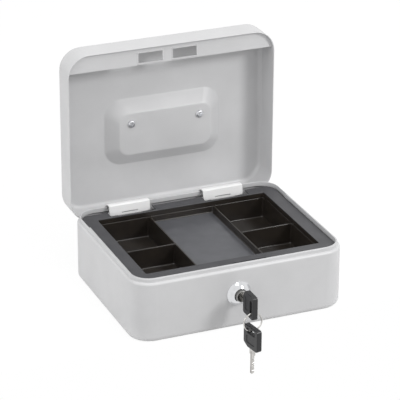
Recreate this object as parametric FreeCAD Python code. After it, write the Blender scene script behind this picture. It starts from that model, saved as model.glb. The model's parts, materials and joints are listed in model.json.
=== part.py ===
import FreeCAD, Part
import math
import os

V = FreeCAD.Vector

# Cash box with its lid open. Millimetres. X to the right, Y to the back, Z up.
# The origin is the centre of the base's underside.
# The lid and all that rides on it are modelled closed, then turned open about the hinge pins.

# ---------------------------------------------------------------- driving dimensions
# Box
box_width = 200.0            # X
box_depth = 160.0            # Y
corner_radius = 20.0         # vertical corners, in plan
sheet = 0.8                  # steel of base and lid
bottom_edge_radius = 5.0
lid_edge_radius = 5.0
shoulder_height = 56.5       # where the base turns inward
shoulder_radius = 2.4
lip_inset = 2.5              # from the base's outside to the lip's outside
lip_height = 3.3             # lip above the shoulder
lid_depth = 27.7             # from the lid's edge to its top
lid_gap = 0.3                # closed lid edge above the shoulder

# Rail that carries the tray
rail_sheet = 0.8
rail_proud = 0.3             # rail above the lip
rail_web = 9.0               # height of the upright web
rail_ledge_drop = 4.8        # ledge top below the lip's top
rail_ledge_width = 4.0
rail_end_inset = 39.0        # both legs stop this far in front of the rear face

# Hinges
hinge_inset = 4.8            # pin centre from the rear face, and below the shoulder
hinge_offset = 46.2          # hinge centre from the box centre, in X
leaf_width = 39.5
leaf_sheet = 1.0
leaf_eye_width = 24.0
leaf_arch_radius = 9.8       # middle of the sheet to the pin
leaf_arch_end = 150.0        # degrees round the pin, from the rear, with the lid open
leaf_tab = 10.0              # flat part on the lid's wall
leaf_curl = (1.6, 7.2)       # lowest point of the curl below the arch, from the pin
pin_radius = 1.5
eye_wall = 1.0
eye_clearance = 0.08         # running fit on the pin
knuckle_gap = 0.3            # between neighbouring eyes
notch_clearance = 1.0        # lip notch beside the leaf
bracket_height = 12.0
bracket_lean = 3.5           # height over which the bracket leans to the pin
slit_length = 15.4
slit_height = 1.1

# Handle dish in the lid
dish_length = 112.0          # X, at the lid's top
dish_width = 62.5            # Y, at the lid's top
dish_offset = 9.2            # dish centre behind the lid's centre
dish_depth = 9.0
dish_slope_run = 11.7        # width of the sloped wall in plan
dish_corner = 16.0
dish_floor_corner = 9.0
dish_edge_radius = 3.0
dish_foot_radius = 4.0

# Handle
screw_margin = 22.5          # dish end to screw
pivot_margin = 21.05         # dish front to pivot
handle_rod_radius = 2.4
grip_margin = 20.45          # grip centre to dish rear
handle_bend = 5.3
bracket_block = (9.0, 9.0, 7.0)
handle_end = 2.0             # arm behind its pivot
handle_stub_clearance = 0.08
handle_side_gap = 0.4        # arm beside its bracket
screw_radius = 1.5
screw_head_radius = 3.6
screw_head_height = 1.7
screw_engagement = 4.0
screw_recess = 0.9

# Strike plate
strike_sheet = 0.9
strike_lift = 3.5            # underside above the lid's edge
strike_width = 16.4          # from the front wall inward
slot_length = 23.2
slot_width = 9.2
slot_bar = 9.9               # bar between the two slots
slot_front_margin = 5.2      # slot from the lid's front inner face
slot_frame = 1.4             # raised border around each slot
slot_frame_height = 0.35

# Tray
tray_gap = 0.6               # tray edge to rail
tray_seat_gap = 0.2          # flange above the rail's ledge
tray_flange = 1.4
tray_wall = 1.5
tray_side_border = 13.3      # flange beside the opening
tray_front_border = 16.0
tray_rear_border = 11.7
tray_opening_corner = 1.2
tray_rear_gap = 9.0          # flange to the box's rear face
tray_hinge_gap = 14.2        # flange to the pins' centre, at the hinges
tray_hinge_clearance = 2.0
tray_step = 5.2              # divider tops below the flange
tray_depth = 24.0            # side compartments
tray_centre_depth = 11.2     # middle compartment
tray_floor_radius = 1.2
divider_offset = 31.5        # middle of each long divider from the centre
cross_divider_y = -2.5
tray_draft = 3.0             # degrees
pocket_corner = 1.6
cam_window = (-0.8, 30.5, 7.9)   # from the lock axis in X, to, and its width in Y

# Lock
lock_x = -4.0
lock_z = 33.0
bezel_radius = 11.2
bezel_face_radius = 6.9
bezel_height = 5.0
barrel_radius = 7.0
barrel_length = 5.4          # behind the outside of the front wall
barrel_clearance = 0.1
nut_across_flats = 19.0
nut_thickness = 1.8
plug_radius = 4.5
plug_flange_radius = 5.5
plug_nose = 3.0              # plug face in front of the bezel
plug_fit = 0.08
plug_tail = 20.8             # plug length behind its face
plug_flats = 3.4             # half distance across the flats of the tail
cam_sheet = 1.6
cam_gap = 0.9                # behind the barrel
cam_hub_radius = 8.0
cam_hook_reach = 3.0         # height of the hook above the strike plate
cam_hook_gap = 0.5
cam_nose = 4.6               # hook past the stem, towards the slot bar
cam_stem_gap = 0.7           # stem beside the slot bar
cam_stem_width = 7.0
cam_shoulder = 12.0          # stem's full width starts this far below the strike plate
clip_thickness = 0.8
clip_groove_radius = 3.9
clip_radius = 6.6
wafer_count = 4
wafer_thickness = 0.8
wafer_pitch = 2.6

# Keys
key_thickness = 1.9
key_blade_width = 3.6
key_root_width = 6.4
key_root_length = 6.0
key_blade_length = 19.0
key_tang_length = 7.0
key_fit = 0.08
bow_width = 21.5
bow_length = 20.5
bow_thickness = 5.0
bow_neck = 4.4               # slope starts this far from the middle
bow_taper = 3.4              # depth of the sloped shoulder on one side
bow_corner = 2.4
bow_edge = 0.8
bow_bar = 2.3                # between the ring slot and the bow's end
ring_slot = (14.0, 4.4)
bow_panel = (12.5, 7.5, 0.5)
ring_radius = 8.35           # to the wire's centre
ring_wire = 0.65
ring_clearance = 0.12
spare_turn = 9.0            # degrees about Z
tang_half_height = 2.4
key_tip = (2.0, 0.9)         # length and height of the tip's bevels
cut_floor = 0.6              # length of a cut's floor
cut_slope = 0.5
cut_first = 3.6              # tip to the first cut
cut_depths = (0.5, 0.85, 1.2)
key_groove = (0.45, 1.2)     # depth and width

# ---------------------------------------------------------------- derived places
lip_top = shoulder_height + lip_height
lid_edge_z = shoulder_height + lid_gap
lid_top_z = lid_edge_z + lid_depth
front_face = -box_depth / 2
rear_face = box_depth / 2
hinge_y = rear_face - hinge_inset
hinge_z = shoulder_height - hinge_inset
lip_inner = lip_inset + sheet
rail_inner = lip_inner + rail_sheet
ledge_top = lip_top - rail_ledge_drop
flange_top = ledge_top + tray_seat_gap + tray_flange
strike_bottom = lid_edge_z + strike_lift
strike_top = strike_bottom + strike_sheet
dish_floor_z = lid_top_z - dish_depth
eye_radius = pin_radius + eye_wall
plug_face = front_face - bezel_height - plug_nose
cam_y = front_face + barrel_length + cam_gap
bow_start = plug_face - key_root_length
rail_end = rear_face - rail_end_inset
dish_front = dish_offset - dish_width / 2
dish_rear = dish_offset + dish_width / 2
screw_x = dish_length / 2 - screw_margin
handle_pivot_y = dish_front + pivot_margin
grip_y = dish_rear - grip_margin
tray_edge = rail_inner + tray_gap
tray_rear_edge = rear_face - tray_rear_gap
tray_hinge_edge = hinge_y - tray_hinge_gap
opening_x = box_width / 2 - tray_edge - tray_side_border
opening_front = front_face + tray_edge + tray_front_border
opening_rear = tray_rear_edge - tray_rear_border
HINGE_SIDES = {"left": -hinge_offset, "right": hinge_offset}


# ---------------------------------------------------------------- shape helpers
def rounded_wire(x0, x1, y0, y1, radius, z):
    """Rectangle with round corners, at height z."""
    r = min(radius, (x1 - x0) / 2 - 0.01, (y1 - y0) / 2 - 0.01)
    diagonal = r * (1 - math.sqrt(0.5))
    corners = [(x1, y0, -1, 1), (x1, y1, -1, -1), (x0, y1, 1, -1), (x0, y0, 1, 1)]
    starts = []
    for index, (x, y, inx, iny) in enumerate(corners):
        along_y = V(x, y + iny * r, z)
        along_x = V(x + inx * r, y, z)
        middle = V(x + inx * diagonal, y + iny * diagonal, z)
        first, last = (along_x, along_y) if index % 2 == 0 else (along_y, along_x)
        starts.append((first, middle, last))
    edges = []
    for index, (first, middle, last) in enumerate(starts):
        following = starts[(index + 1) % 4][0]
        edges.append(Part.Arc(first, middle, last).toShape())
        edges.append(Part.LineSegment(last, following).toShape())
    return Part.Wire(edges)


def slab(x0, x1, y0, y1, z0, z1, radius=0.0):
    """Upright block, with round vertical corners if a radius is given."""
    if radius <= 0:
        return Part.makeBox(x1 - x0, y1 - y0, z1 - z0, V(x0, y0, z0))
    face = Part.Face(rounded_wire(x0, x1, y0, y1, radius, z0))
    return face.extrude(V(0, 0, z1 - z0))


def plan_slab(inset, z0, z1):
    """Block with the box's plan outline, moved inward by an inset."""
    half_x = box_width / 2 - inset
    half_y = box_depth / 2 - inset
    return slab(-half_x, half_x, -half_y, half_y, z0, z1, corner_radius - inset)


def edges_at(shape, z):
    """Edges that lie wholly at height z."""
    return [edge for edge in shape.Edges
            if all(abs(vertex.Z - z) < 1e-6 for vertex in edge.Vertexes)
            and abs(edge.BoundBox.ZLength) < 1e-6]


def round_edges(shape, z, radius):
    """Fillet every edge at height z."""
    return shape.makeFillet(radius, edges_at(shape, z))


def rod(radius, start, direction, length):
    """Cylinder from a start point along a direction."""
    return Part.makeCylinder(radius, length, start, direction)


def tapered_pocket(x0, x1, y0, y1, z_top, depth, radius):
    """Solid of a pocket whose walls lean in by the tray's draft."""
    lean = depth * math.tan(math.radians(tray_draft))
    top = rounded_wire(x0, x1, y0, y1, radius, z_top)
    bottom = rounded_wire(x0 + lean, x1 - lean, y0 + lean, y1 - lean, radius, z_top - depth)
    return Part.makeLoft([top, bottom], True, True)


def folded_strip(points, thickness, x0, x1):
    """Bent sheet whose middle line runs through (y, z) points, from x0 to x1."""
    length = x1 - x0
    pieces = []
    for (ya, za), (yb, zb) in zip(points, points[1:]):
        run = math.hypot(yb - ya, zb - za)
        piece = Part.makeBox(length, run, thickness, V(0, 0, -thickness / 2))
        piece.rotate(V(0, 0, 0), V(1, 0, 0), math.degrees(math.atan2(zb - za, yb - ya)))
        piece.translate(V(x0, ya, za))
        pieces.append(piece)
    for y, z in points[1:-1]:
        pieces.append(rod(thickness / 2, V(x0, y, z), V(1, 0, 0), length))
    return pieces[0].multiFuse(pieces[1:]).removeSplitter()


def about_pin(points):
    """Points given from the hinge pin, moved to their place."""
    return [(hinge_y + dy, hinge_z + dz) for dy, dz in points]


def opened(shape):
    """A closed-lid shape, turned open by a quarter turn about the hinge pins."""
    shape.rotate(V(0, hinge_y, hinge_z), V(1, 0, 0), -90)
    return shape


def export(name, shape):
    """Write one named node."""
    shape.exportStep("parts/" + name + ".step")


# ---------------------------------------------------------------- base
def base_shell():
    """Drawn box with a rounded shoulder, an upright lip, hinge notches and the lock's hole."""
    outside = plan_slab(0, 0, shoulder_height)
    outside = round_edges(outside, 0, bottom_edge_radius)
    outside = round_edges(outside, shoulder_height, shoulder_radius)
    outside = outside.fuse(plan_slab(lip_inset, shoulder_height - sheet, lip_top))
    inside = plan_slab(sheet, sheet, shoulder_height - sheet)
    inside = round_edges(inside, sheet, bottom_edge_radius - sheet)
    inside = round_edges(inside, shoulder_height - sheet, shoulder_radius - sheet)
    mouth = plan_slab(lip_inner, shoulder_height - 2 * sheet, lip_top + 1)
    shell = outside.cut(inside).cut(mouth)
    half_notch = leaf_width / 2 + notch_clearance
    for x in HINGE_SIDES.values():
        shell = shell.cut(slab(x - half_notch, x + half_notch, rear_face - lip_inner - 1, rear_face,
                               shoulder_height, lip_top + 1))
    hole = rod(barrel_radius + barrel_clearance, V(lock_x, front_face - 1, lock_z), V(0, 1, 0), 3)
    return shell.cut(hole)


def tray_rail():
    """Angle strip round three sides: an upright web inside the lip, and an inward ledge."""
    web_bottom = lip_top + rail_proud - rail_web
    web = plan_slab(lip_inner, web_bottom, lip_top + rail_proud)
    web = web.cut(plan_slab(rail_inner, web_bottom - 1, lip_top + rail_proud + 1))
    ledge = plan_slab(rail_inner, ledge_top - rail_sheet, ledge_top)
    ledge = ledge.cut(plan_slab(rail_inner + rail_ledge_width, web_bottom - 1, lip_top))
    rail = web.fuse(ledge).removeSplitter()
    slope = rail_web
    cutter = Part.Face(Part.makePolygon([
        V(-box_width, rail_end + slope, web_bottom - 1), V(-box_width, rail_end, lip_top + 1),
        V(-box_width, rear_face, lip_top + 1), V(-box_width, rear_face, web_bottom - 1),
        V(-box_width, rail_end + slope, web_bottom - 1)]))
    rail = rail.cut(cutter.extrude(V(2 * box_width, 0, 0)))
    window = cam_window_block(ledge_top - 2 * rail_sheet, ledge_top + 1)
    return rail.cut(window)


def cam_window_block(z0, z1):
    """Space in front of the tray that the cam swings up through."""
    start, stop, width = cam_window
    y0 = front_face + rail_inner
    return slab(lock_x + start, lock_x + stop, y0, y0 + width, z0, z1)


def hinge_bracket(x):
    """Fixed leaf on the rear wall, with an eye at each end of the pin."""
    wall_y = rear_face - sheet - leaf_sheet / 2
    bend_z = hinge_z - bracket_lean
    path = [(wall_y, bend_z - bracket_height), (wall_y, bend_z),
            (hinge_y + eye_radius / 2, hinge_z - eye_radius / 2)]
    half = leaf_width / 2
    body = folded_strip(path, leaf_sheet, x - half, x + half)
    body = body.fuse(rod(eye_radius, V(x - half, hinge_y, hinge_z), V(1, 0, 0), leaf_width))
    gap = leaf_eye_width / 2 + knuckle_gap
    clear = slab(x - gap, x + gap, hinge_y - 2 * eye_radius, wall_y - leaf_sheet / 2,
                 bend_z - 2 * leaf_sheet, hinge_z + 2 * eye_radius)
    tongue = slab(x - gap, x + gap, hinge_y, rear_face - sheet, bend_z, hinge_z + eye_radius)
    bore = rod(pin_radius, V(x - box_width, hinge_y, hinge_z), V(1, 0, 0), 2 * box_width)
    return body.cut(clear).cut(tongue).cut(bore).removeSplitter()


def hinge_pins():
    """One steel pin in each hinge."""
    return [rod(pin_radius, V(x - leaf_width / 2, hinge_y, hinge_z), V(1, 0, 0), leaf_width)
            for x in HINGE_SIDES.values()]


# ---------------------------------------------------------------- lid, modelled closed
def dish_solid(grow, depth):
    """Space of the handle's dish: sloped walls from the lid's top to a flat floor."""
    y0, y1 = dish_front, dish_rear
    x1 = dish_length / 2
    run = dish_slope_run
    top = rounded_wire(-x1 - grow, x1 + grow, y0 - grow, y1 + grow, dish_corner + grow, lid_top_z)
    floor = rounded_wire(-x1 + run - grow, x1 - run + grow, y0 + run - grow, y1 - run + grow,
                         dish_floor_corner + grow, lid_top_z - depth)
    return Part.makeLoft([top, floor], True, True)


def lid_shell():
    """Drawn lid with the handle's dish pressed into its top."""
    outside = plan_slab(0, lid_edge_z, lid_top_z)
    outside = round_edges(outside, lid_top_z, lid_edge_radius)
    cavity = plan_slab(sheet, lid_edge_z - 1, lid_top_z - sheet)
    cavity = round_edges(cavity, lid_top_z - sheet, lid_edge_radius - sheet)
    bulge = dish_solid(sheet, dish_depth + sheet)
    bulge = round_edges(bulge, dish_floor_z - sheet, dish_foot_radius + sheet)
    cavity = cavity.cut(bulge)
    hollow = dish_solid(0, dish_depth)
    hollow = round_edges(hollow, dish_floor_z, dish_foot_radius)
    outside = outside.cut(hollow)
    outside = outside.makeFillet(dish_edge_radius, dish_mouth_edges(outside))
    shell = outside.cut(cavity)
    for x in (-screw_x, screw_x):
        shell = shell.cut(rod(screw_radius, V(x, handle_pivot_y, dish_floor_z - 2 * sheet), V(0, 0, 1),
                              3 * sheet))
    return shell


def dish_mouth_edges(shape):
    """Edges where the dish meets the lid's top."""
    reach = dish_length / 2 + 1
    return [edge for edge in edges_at(shape, lid_top_z) if abs(edge.BoundBox.Center.x) < reach
            and edge.BoundBox.XMax < reach and edge.BoundBox.XMin > -reach
            and edge.BoundBox.YMax < dish_rear + 1 and edge.BoundBox.YMin > dish_front - 1]


def strike_slots():
    """Left edge in X of each slot. The bar between them hangs beside the lock's axis."""
    right = lock_x + slot_bar / 2
    return [right - slot_bar - slot_length, right]


def strike_plate():
    """Strip inside the lid's front wall, with two framed slots for the cam's hook."""
    plate = plan_slab(sheet, strike_bottom, strike_top)
    inner_edge = front_face + sheet + strike_width
    plate = plate.cut(slab(-box_width, box_width, inner_edge, box_depth, strike_bottom - 1, strike_top + 1))
    y0 = front_face + sheet + slot_front_margin
    for x in strike_slots():
        frame = slab(x - slot_frame, x + slot_length + slot_frame, y0 - slot_frame,
                     y0 + slot_width + slot_frame, strike_bottom - slot_frame_height, strike_bottom)
        plate = plate.fuse(frame)
    for x in strike_slots():
        plate = plate.cut(slab(x, x + slot_length, y0, y0 + slot_width, strike_bottom - 2, strike_top + 2))
    return plate.removeSplitter()


def leaf_arch():
    """Points of the leaf's arch round the pin, from the lid's wall to the curl, with the lid closed."""
    wall = hinge_inset - sheet - leaf_sheet / 2
    start = math.asin(wall / leaf_arch_radius)
    stop = math.radians(leaf_arch_end)
    steps = 12
    angles = [-start + (stop + start) * k / steps for k in range(steps + 1)]
    return [(-leaf_arch_radius * math.sin(a), leaf_arch_radius * math.cos(a)) for a in angles]


def hinge_leaf(x):
    """Gooseneck leaf: from the lid's rear wall, round the base's lip and back to the pin."""
    arch = leaf_arch()
    curl = (-leaf_curl[0], -leaf_curl[1])
    path = [(arch[0][0], arch[0][1] + leaf_tab)] + arch + [curl]
    half = leaf_width / 2
    leaf = folded_strip(about_pin(path), leaf_sheet, x - half, x + half)
    neck = [curl, (0.0, -eye_radius + leaf_sheet / 2)]
    half_eye = leaf_eye_width / 2
    leaf = leaf.fuse(folded_strip(about_pin(neck), leaf_sheet, x - half_eye, x + half_eye))
    leaf = leaf.fuse(rod(eye_radius, V(x - half_eye, hinge_y, hinge_z), V(1, 0, 0), leaf_eye_width))
    leaf = leaf.fuse(rod(leaf_sheet / 2, V(x - half_eye, hinge_y + curl[0], hinge_z + curl[1]), V(1, 0, 0),
                         leaf_eye_width))
    bore = rod(pin_radius + eye_clearance, V(x - half, hinge_y, hinge_z), V(1, 0, 0), leaf_width)
    slit_y, slit_z = hinge_y + arch[-1][0], hinge_z + arch[-1][1]
    slit = slab(x - slit_length / 2, x + slit_length / 2, slit_y - slit_height / 2, slit_y + slit_height / 2,
                slit_z - 2 * leaf_sheet, slit_z + 2 * leaf_sheet)
    return leaf.cut(bore).cut(slit).removeSplitter()


def handle_pivot_z():
    """Height of the handle's pivot with the lid closed."""
    return dish_floor_z + bracket_block[2] / 2


def handle_bracket(x):
    """Bearing block on the dish's floor, with a bore for the handle and a screw hole below."""
    length, width, height = bracket_block
    block = slab(x - length / 2, x + length / 2, handle_pivot_y - width / 2, handle_pivot_y + width / 2,
                 dish_floor_z, dish_floor_z + height)
    side = [edge for edge in block.Edges if abs(edge.BoundBox.Center.z - dish_floor_z - height) < 1e-6
            and edge.BoundBox.YLength < 1e-6]
    block = block.makeFillet(height / 3, side)
    bore = rod(handle_rod_radius * 0.7 + handle_stub_clearance, V(x - length, handle_pivot_y, handle_pivot_z()),
               V(1, 0, 0), 2 * length)
    solid_end = slab(x - length / 6, x + length / 6, handle_pivot_y - width, handle_pivot_y + width,
                     dish_floor_z, dish_floor_z + height)
    block = block.cut(bore.cut(solid_end))
    screw_hole = rod(screw_radius, V(x, handle_pivot_y, dish_floor_z), V(0, 0, 1), screw_engagement)
    return block.cut(screw_hole)


def handle_screw(x):
    """Pan-head screw from inside the lid, with a cross recess."""
    head_top = dish_floor_z - sheet
    head = rod(screw_head_radius, V(x, handle_pivot_y, head_top - screw_head_height), V(0, 0, 1),
               screw_head_height)
    head = round_edges(head, head_top - screw_head_height, screw_head_height * 0.6)
    shank = rod(screw_radius, V(x, handle_pivot_y, head_top - 0.1), V(0, 0, 1), screw_engagement + sheet + 0.1)
    screw = head.fuse(shank)
    for half_x, half_y in ((2.0, 0.4), (0.4, 2.0)):
        screw = screw.cut(slab(x - half_x, x + half_x, handle_pivot_y - half_y, handle_pivot_y + half_y,
                               head_top - screw_head_height - 1, head_top - screw_head_height + screw_recess))
    return screw.removeSplitter()


def carry_handle():
    """Bail with a thick grip, folded back into the dish."""
    arm_x = screw_x + bracket_block[0] / 2 + handle_side_gap + handle_rod_radius
    z = handle_pivot_z()
    r = handle_rod_radius
    bend = handle_bend
    diagonal = bend * (1 - math.sqrt(0.5))
    start = V(-arm_x, handle_pivot_y - handle_end, z)
    path = Part.Wire([
        Part.LineSegment(start, V(-arm_x, grip_y - bend, z)).toShape(),
        Part.Arc(V(-arm_x, grip_y - bend, z), V(-arm_x + diagonal, grip_y - diagonal, z),
                 V(-arm_x + bend, grip_y, z)).toShape(),
        Part.LineSegment(V(-arm_x + bend, grip_y, z), V(arm_x - bend, grip_y, z)).toShape(),
        Part.Arc(V(arm_x - bend, grip_y, z), V(arm_x - diagonal, grip_y - diagonal, z),
                 V(arm_x, grip_y - bend, z)).toShape(),
        Part.LineSegment(V(arm_x, grip_y - bend, z), V(arm_x, handle_pivot_y - handle_end, z)).toShape()])
    section = Part.Wire([Part.makeCircle(r, start, V(0, 1, 0))])
    bail = path.makePipeShell([section], True, True)
    stub_length = bracket_block[0] / 3 + handle_side_gap + handle_rod_radius - handle_stub_clearance
    for side in (-1, 1):
        stub = rod(handle_rod_radius * 0.7, V(side * arm_x, handle_pivot_y, z), V(-side, 0, 0), stub_length)
        bail = bail.fuse(stub)
    return bail.removeSplitter()


# ---------------------------------------------------------------- tray
def tray_columns(lean):
    """Outline and depth of each compartment, at the height of the divider tops."""
    front, rear = opening_front + lean, opening_rear - lean
    far, near = opening_x - lean, divider_offset + tray_wall / 2
    middle = tray_wall / 2
    rows = ((front, cross_divider_y - middle), (cross_divider_y + middle, rear))
    columns = [(x0, x1, y0, y1, tray_depth) for x0, x1 in ((-far, -near), (near, far)) for y0, y1 in rows]
    return columns + [(-near + tray_wall, near - tray_wall, front, rear, tray_centre_depth)]


def coin_tray():
    """Moulded tray: flange, a stepped opening, a shallow middle and four deep compartments."""
    flange = plan_slab(tray_edge, flange_top - tray_flange, flange_top)
    flange = flange.cut(slab(-box_width, box_width, tray_rear_edge, box_depth, 0, box_depth))
    for x in HINGE_SIDES.values():
        half = leaf_width / 2 + tray_hinge_clearance
        flange = flange.cut(slab(x - half, x + half, tray_hinge_edge, box_depth, 0, box_depth))
    flange = flange.cut(cam_window_block(0, box_depth))
    step_z = flange_top - tray_step
    lean = tray_step * math.tan(math.radians(tray_draft))
    wall = tray_wall
    tray = flange.fuse(tapered_pocket(-opening_x - wall, opening_x + wall, opening_front - wall,
                                      opening_rear + wall, flange_top - tray_flange / 2,
                                      tray_centre_depth + wall - tray_flange / 2, tray_opening_corner + wall))
    for x0, x1, y0, y1, depth in tray_columns(lean):
        if depth > tray_centre_depth:
            tray = tray.fuse(tapered_pocket(x0 - wall, x1 + wall, y0 - wall, y1 + wall, step_z,
                                            depth - tray_step + wall, pocket_corner + wall))
    tray = tray.cut(tapered_pocket(-opening_x, opening_x, opening_front, opening_rear, flange_top, tray_step,
                                   tray_opening_corner))
    for x0, x1, y0, y1, depth in tray_columns(lean):
        pocket = tapered_pocket(x0, x1, y0, y1, step_z, depth - tray_step, pocket_corner)
        tray = tray.cut(round_edges(pocket, flange_top - depth, tray_floor_radius))
    return tray.removeSplitter()


# ---------------------------------------------------------------- lock
def lathe(profile):
    """Solid turned about the lock's axis, from (radius, y) points."""
    points = [V(lock_x + r, y, lock_z) for r, y in profile]
    face = Part.Face(Part.makePolygon(points + [points[0]]))
    return face.revolve(V(lock_x, 0, lock_z), V(0, 1, 0), 360)


def lock_housing():
    """Turned housing: domed bezel outside the front wall, barrel through it."""
    seat = plug_flange_radius + plug_fit
    bore = plug_radius + plug_fit
    bezel_front = front_face - bezel_height
    seat_y = bezel_front + 1.6
    housing = lathe([(seat, bezel_front), (bezel_face_radius, bezel_front),
                     (bezel_radius - 0.6, front_face - 1.1), (bezel_radius, front_face - 0.5),
                     (bezel_radius, front_face), (barrel_radius, front_face),
                     (barrel_radius, front_face + barrel_length), (bore, front_face + barrel_length),
                     (bore, seat_y), (seat, seat_y)])
    return housing


def lock_nut():
    """Hexagon nut on the barrel, against the inside of the front wall."""
    corner = nut_across_flats / math.sqrt(3)
    y = front_face + sheet
    points = [V(lock_x + corner * math.cos(math.radians(60 * k)), y,
                lock_z + corner * math.sin(math.radians(60 * k))) for k in range(7)]
    nut = Part.Face(Part.makePolygon(points)).extrude(V(0, nut_thickness, 0))
    return nut.cut(rod(barrel_radius, V(lock_x, y - 1, lock_z), V(0, 1, 0), nut_thickness + 2))


def keyway():
    """Slot for the blade, along the plug's axis."""
    half_t = key_thickness / 2 + key_fit
    half_w = key_blade_width / 2 + key_fit
    return slab(lock_x - half_t, lock_x + half_t, plug_face - 1, plug_face + key_blade_length + key_fit,
                lock_z - half_w, lock_z + half_w)


def tail_flats(y0, y1, grow=0.0):
    """Double-flat bar that drives the cam."""
    half = plug_flats + grow
    bar = rod(plug_radius + grow, V(lock_x, y0, lock_z), V(0, 1, 0), y1 - y0)
    return bar.common(slab(lock_x - half, lock_x + half, y0, y1, lock_z - box_depth, lock_z + box_depth))


def wafer_places():
    """Front face in Y of each wafer."""
    first = plug_face + plug_nose + 2.4
    return [first + index * wafer_pitch for index in range(wafer_count)]


def wafer(y, grow=0.0):
    """Flat plate across the plug, inside its round outline."""
    half = key_thickness / 2 + 1.4 + grow
    plate = rod(plug_radius - 0.2 + grow, V(lock_x, y - grow, lock_z), V(0, 1, 0), wafer_thickness + 2 * grow)
    return plate.common(slab(lock_x - half, lock_x + half, y - 1, y + wafer_thickness + 1,
                             lock_z - plug_radius, lock_z + plug_radius))


def lock_plug():
    """Turning plug with its flange, keyway, wafer slots, driving flats and clip groove."""
    plug = rod(plug_radius, V(lock_x, plug_face, lock_z), V(0, 1, 0), plug_tail)
    flange_end = front_face - bezel_height + 1.6 - plug_fit
    flange = rod(plug_flange_radius, V(lock_x, plug_face, lock_z), V(0, 1, 0), flange_end - plug_face)
    flange = flange.makeChamfer(0.7, [edge for edge in flange.Edges
                                      if abs(edge.BoundBox.Center.y - plug_face) < 1e-6
                                      and edge.BoundBox.YLength < 1e-6])
    flats_start = cam_y - plug_fit
    tail_end = plug_face + plug_tail
    round_tail = rod(plug_radius + 1, V(lock_x, flats_start, lock_z), V(0, 1, 0), tail_end - flats_start + 1)
    plug = plug.fuse(flange).cut(round_tail.cut(tail_flats(flats_start, tail_end + 1)))
    groove_y = cam_y + cam_sheet + plug_fit
    groove = rod(plug_radius + 1, V(lock_x, groove_y, lock_z), V(0, 1, 0), clip_thickness)
    plug = plug.cut(groove.cut(rod(clip_groove_radius, V(lock_x, groove_y, lock_z), V(0, 1, 0),
                                   clip_thickness)))
    plug = plug.cut(keyway())
    for y in wafer_places():
        plug = plug.cut(wafer(y, 0.05))
    return plug.removeSplitter()


def lock_wafers():
    """Wafers held level with the plug by the key."""
    return [wafer(y).cut(keyway()) for y in wafer_places()]


def lock_cam():
    """Hooked cam. In use it stands up and hooks over the strike plate. At rest it points right."""
    low = strike_top - lock_z + cam_hook_gap
    top = low + cam_hook_reach
    inner = slot_bar / 2 + cam_stem_gap
    outer = inner + cam_stem_width
    bevel = cam_hook_reach / 4
    shoulder = low - cam_shoulder
    outline = [(-cam_hub_radius * 0.6, cam_hub_radius * 0.6), (inner - cam_nose, shoulder - cam_nose),
               (inner, shoulder), (inner, low), (inner - cam_nose, low + bevel / 2),
               (inner - cam_nose, top - bevel), (inner - cam_nose + bevel, top), (outer - cam_hook_reach, top),
               (outer, top - cam_hook_reach), (outer, shoulder), (cam_hub_radius * 0.8, 0.0)]
    points = [V(lock_x + x, cam_y, lock_z + z) for x, z in outline]
    arm = Part.Face(Part.makePolygon(points + [points[0]])).extrude(V(0, cam_sheet, 0))
    cam = arm.fuse(rod(cam_hub_radius, V(lock_x, cam_y, lock_z), V(0, 1, 0), cam_sheet))
    cam = cam.removeSplitter()
    cam.rotate(V(lock_x, cam_y, lock_z), V(0, 1, 0), 90)
    return cam.cut(tail_flats(cam_y - 1, cam_y + cam_sheet + 1, plug_fit / 2))


def cam_clip():
    """Open retaining ring behind the cam."""
    y = cam_y + cam_sheet + plug_fit
    ring = rod(clip_radius, V(lock_x, y, lock_z), V(0, 1, 0), clip_thickness)
    ring = ring.cut(rod(clip_groove_radius, V(lock_x, y - 1, lock_z), V(0, 1, 0), clip_thickness + 2))
    mouth = slab(lock_x - 2.6, lock_x + 2.6, y - 1, y + clip_thickness + 1, lock_z - 2 * clip_radius, lock_z)
    return ring.cut(mouth)


# ---------------------------------------------------------------- keys
# A key is modelled with its bow towards -Y and its blade towards +Y, in the plane X = 0, and
# with the end of its bow's neck at the origin.
def key_blade_shape():
    """Flat steel blade: tang in the bow, wide root, and a blade with cuts below and a groove."""
    half_root, half_blade = key_root_width / 2, key_blade_width / 2
    root_end = key_root_length
    tip = root_end + key_blade_length
    bevel_length, bevel_height = key_tip
    outline = [(-key_tang_length, tang_half_height), (0.0, tang_half_height), (0.0, half_root),
               (root_end, half_root), (root_end, half_blade), (tip - bevel_length / 2, half_blade),
               (tip, half_blade - bevel_height), (tip, -half_blade + 2 * bevel_height),
               (tip - bevel_length, -half_blade)]
    for index in range(wafer_count + 1):
        y = tip - cut_first - index * wafer_pitch
        depth = cut_depths[index % len(cut_depths)]
        outline += [(y, -half_blade), (y - cut_slope, -half_blade + depth),
                    (y - cut_slope - cut_floor, -half_blade + depth),
                    (y - 2 * cut_slope - cut_floor, -half_blade)]
    outline += [(root_end, -half_blade), (root_end, -half_root), (0.0, -half_root),
                (0.0, -tang_half_height), (-key_tang_length, -tang_half_height)]
    points = [V(-key_thickness / 2, y, z) for y, z in outline]
    blade = Part.Face(Part.makePolygon(points + [points[0]])).extrude(V(key_thickness, 0, 0))
    depth, width = key_groove
    groove = slab(-key_thickness, -key_thickness / 2 + depth, root_end / 2, tip + 1, 0, width)
    return blade.cut(groove)


def ring_slot_y():
    """Middle of the ring's slot, from the bow's neck."""
    return -(bow_length - bow_bar - ring_slot[1] / 2)


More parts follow.
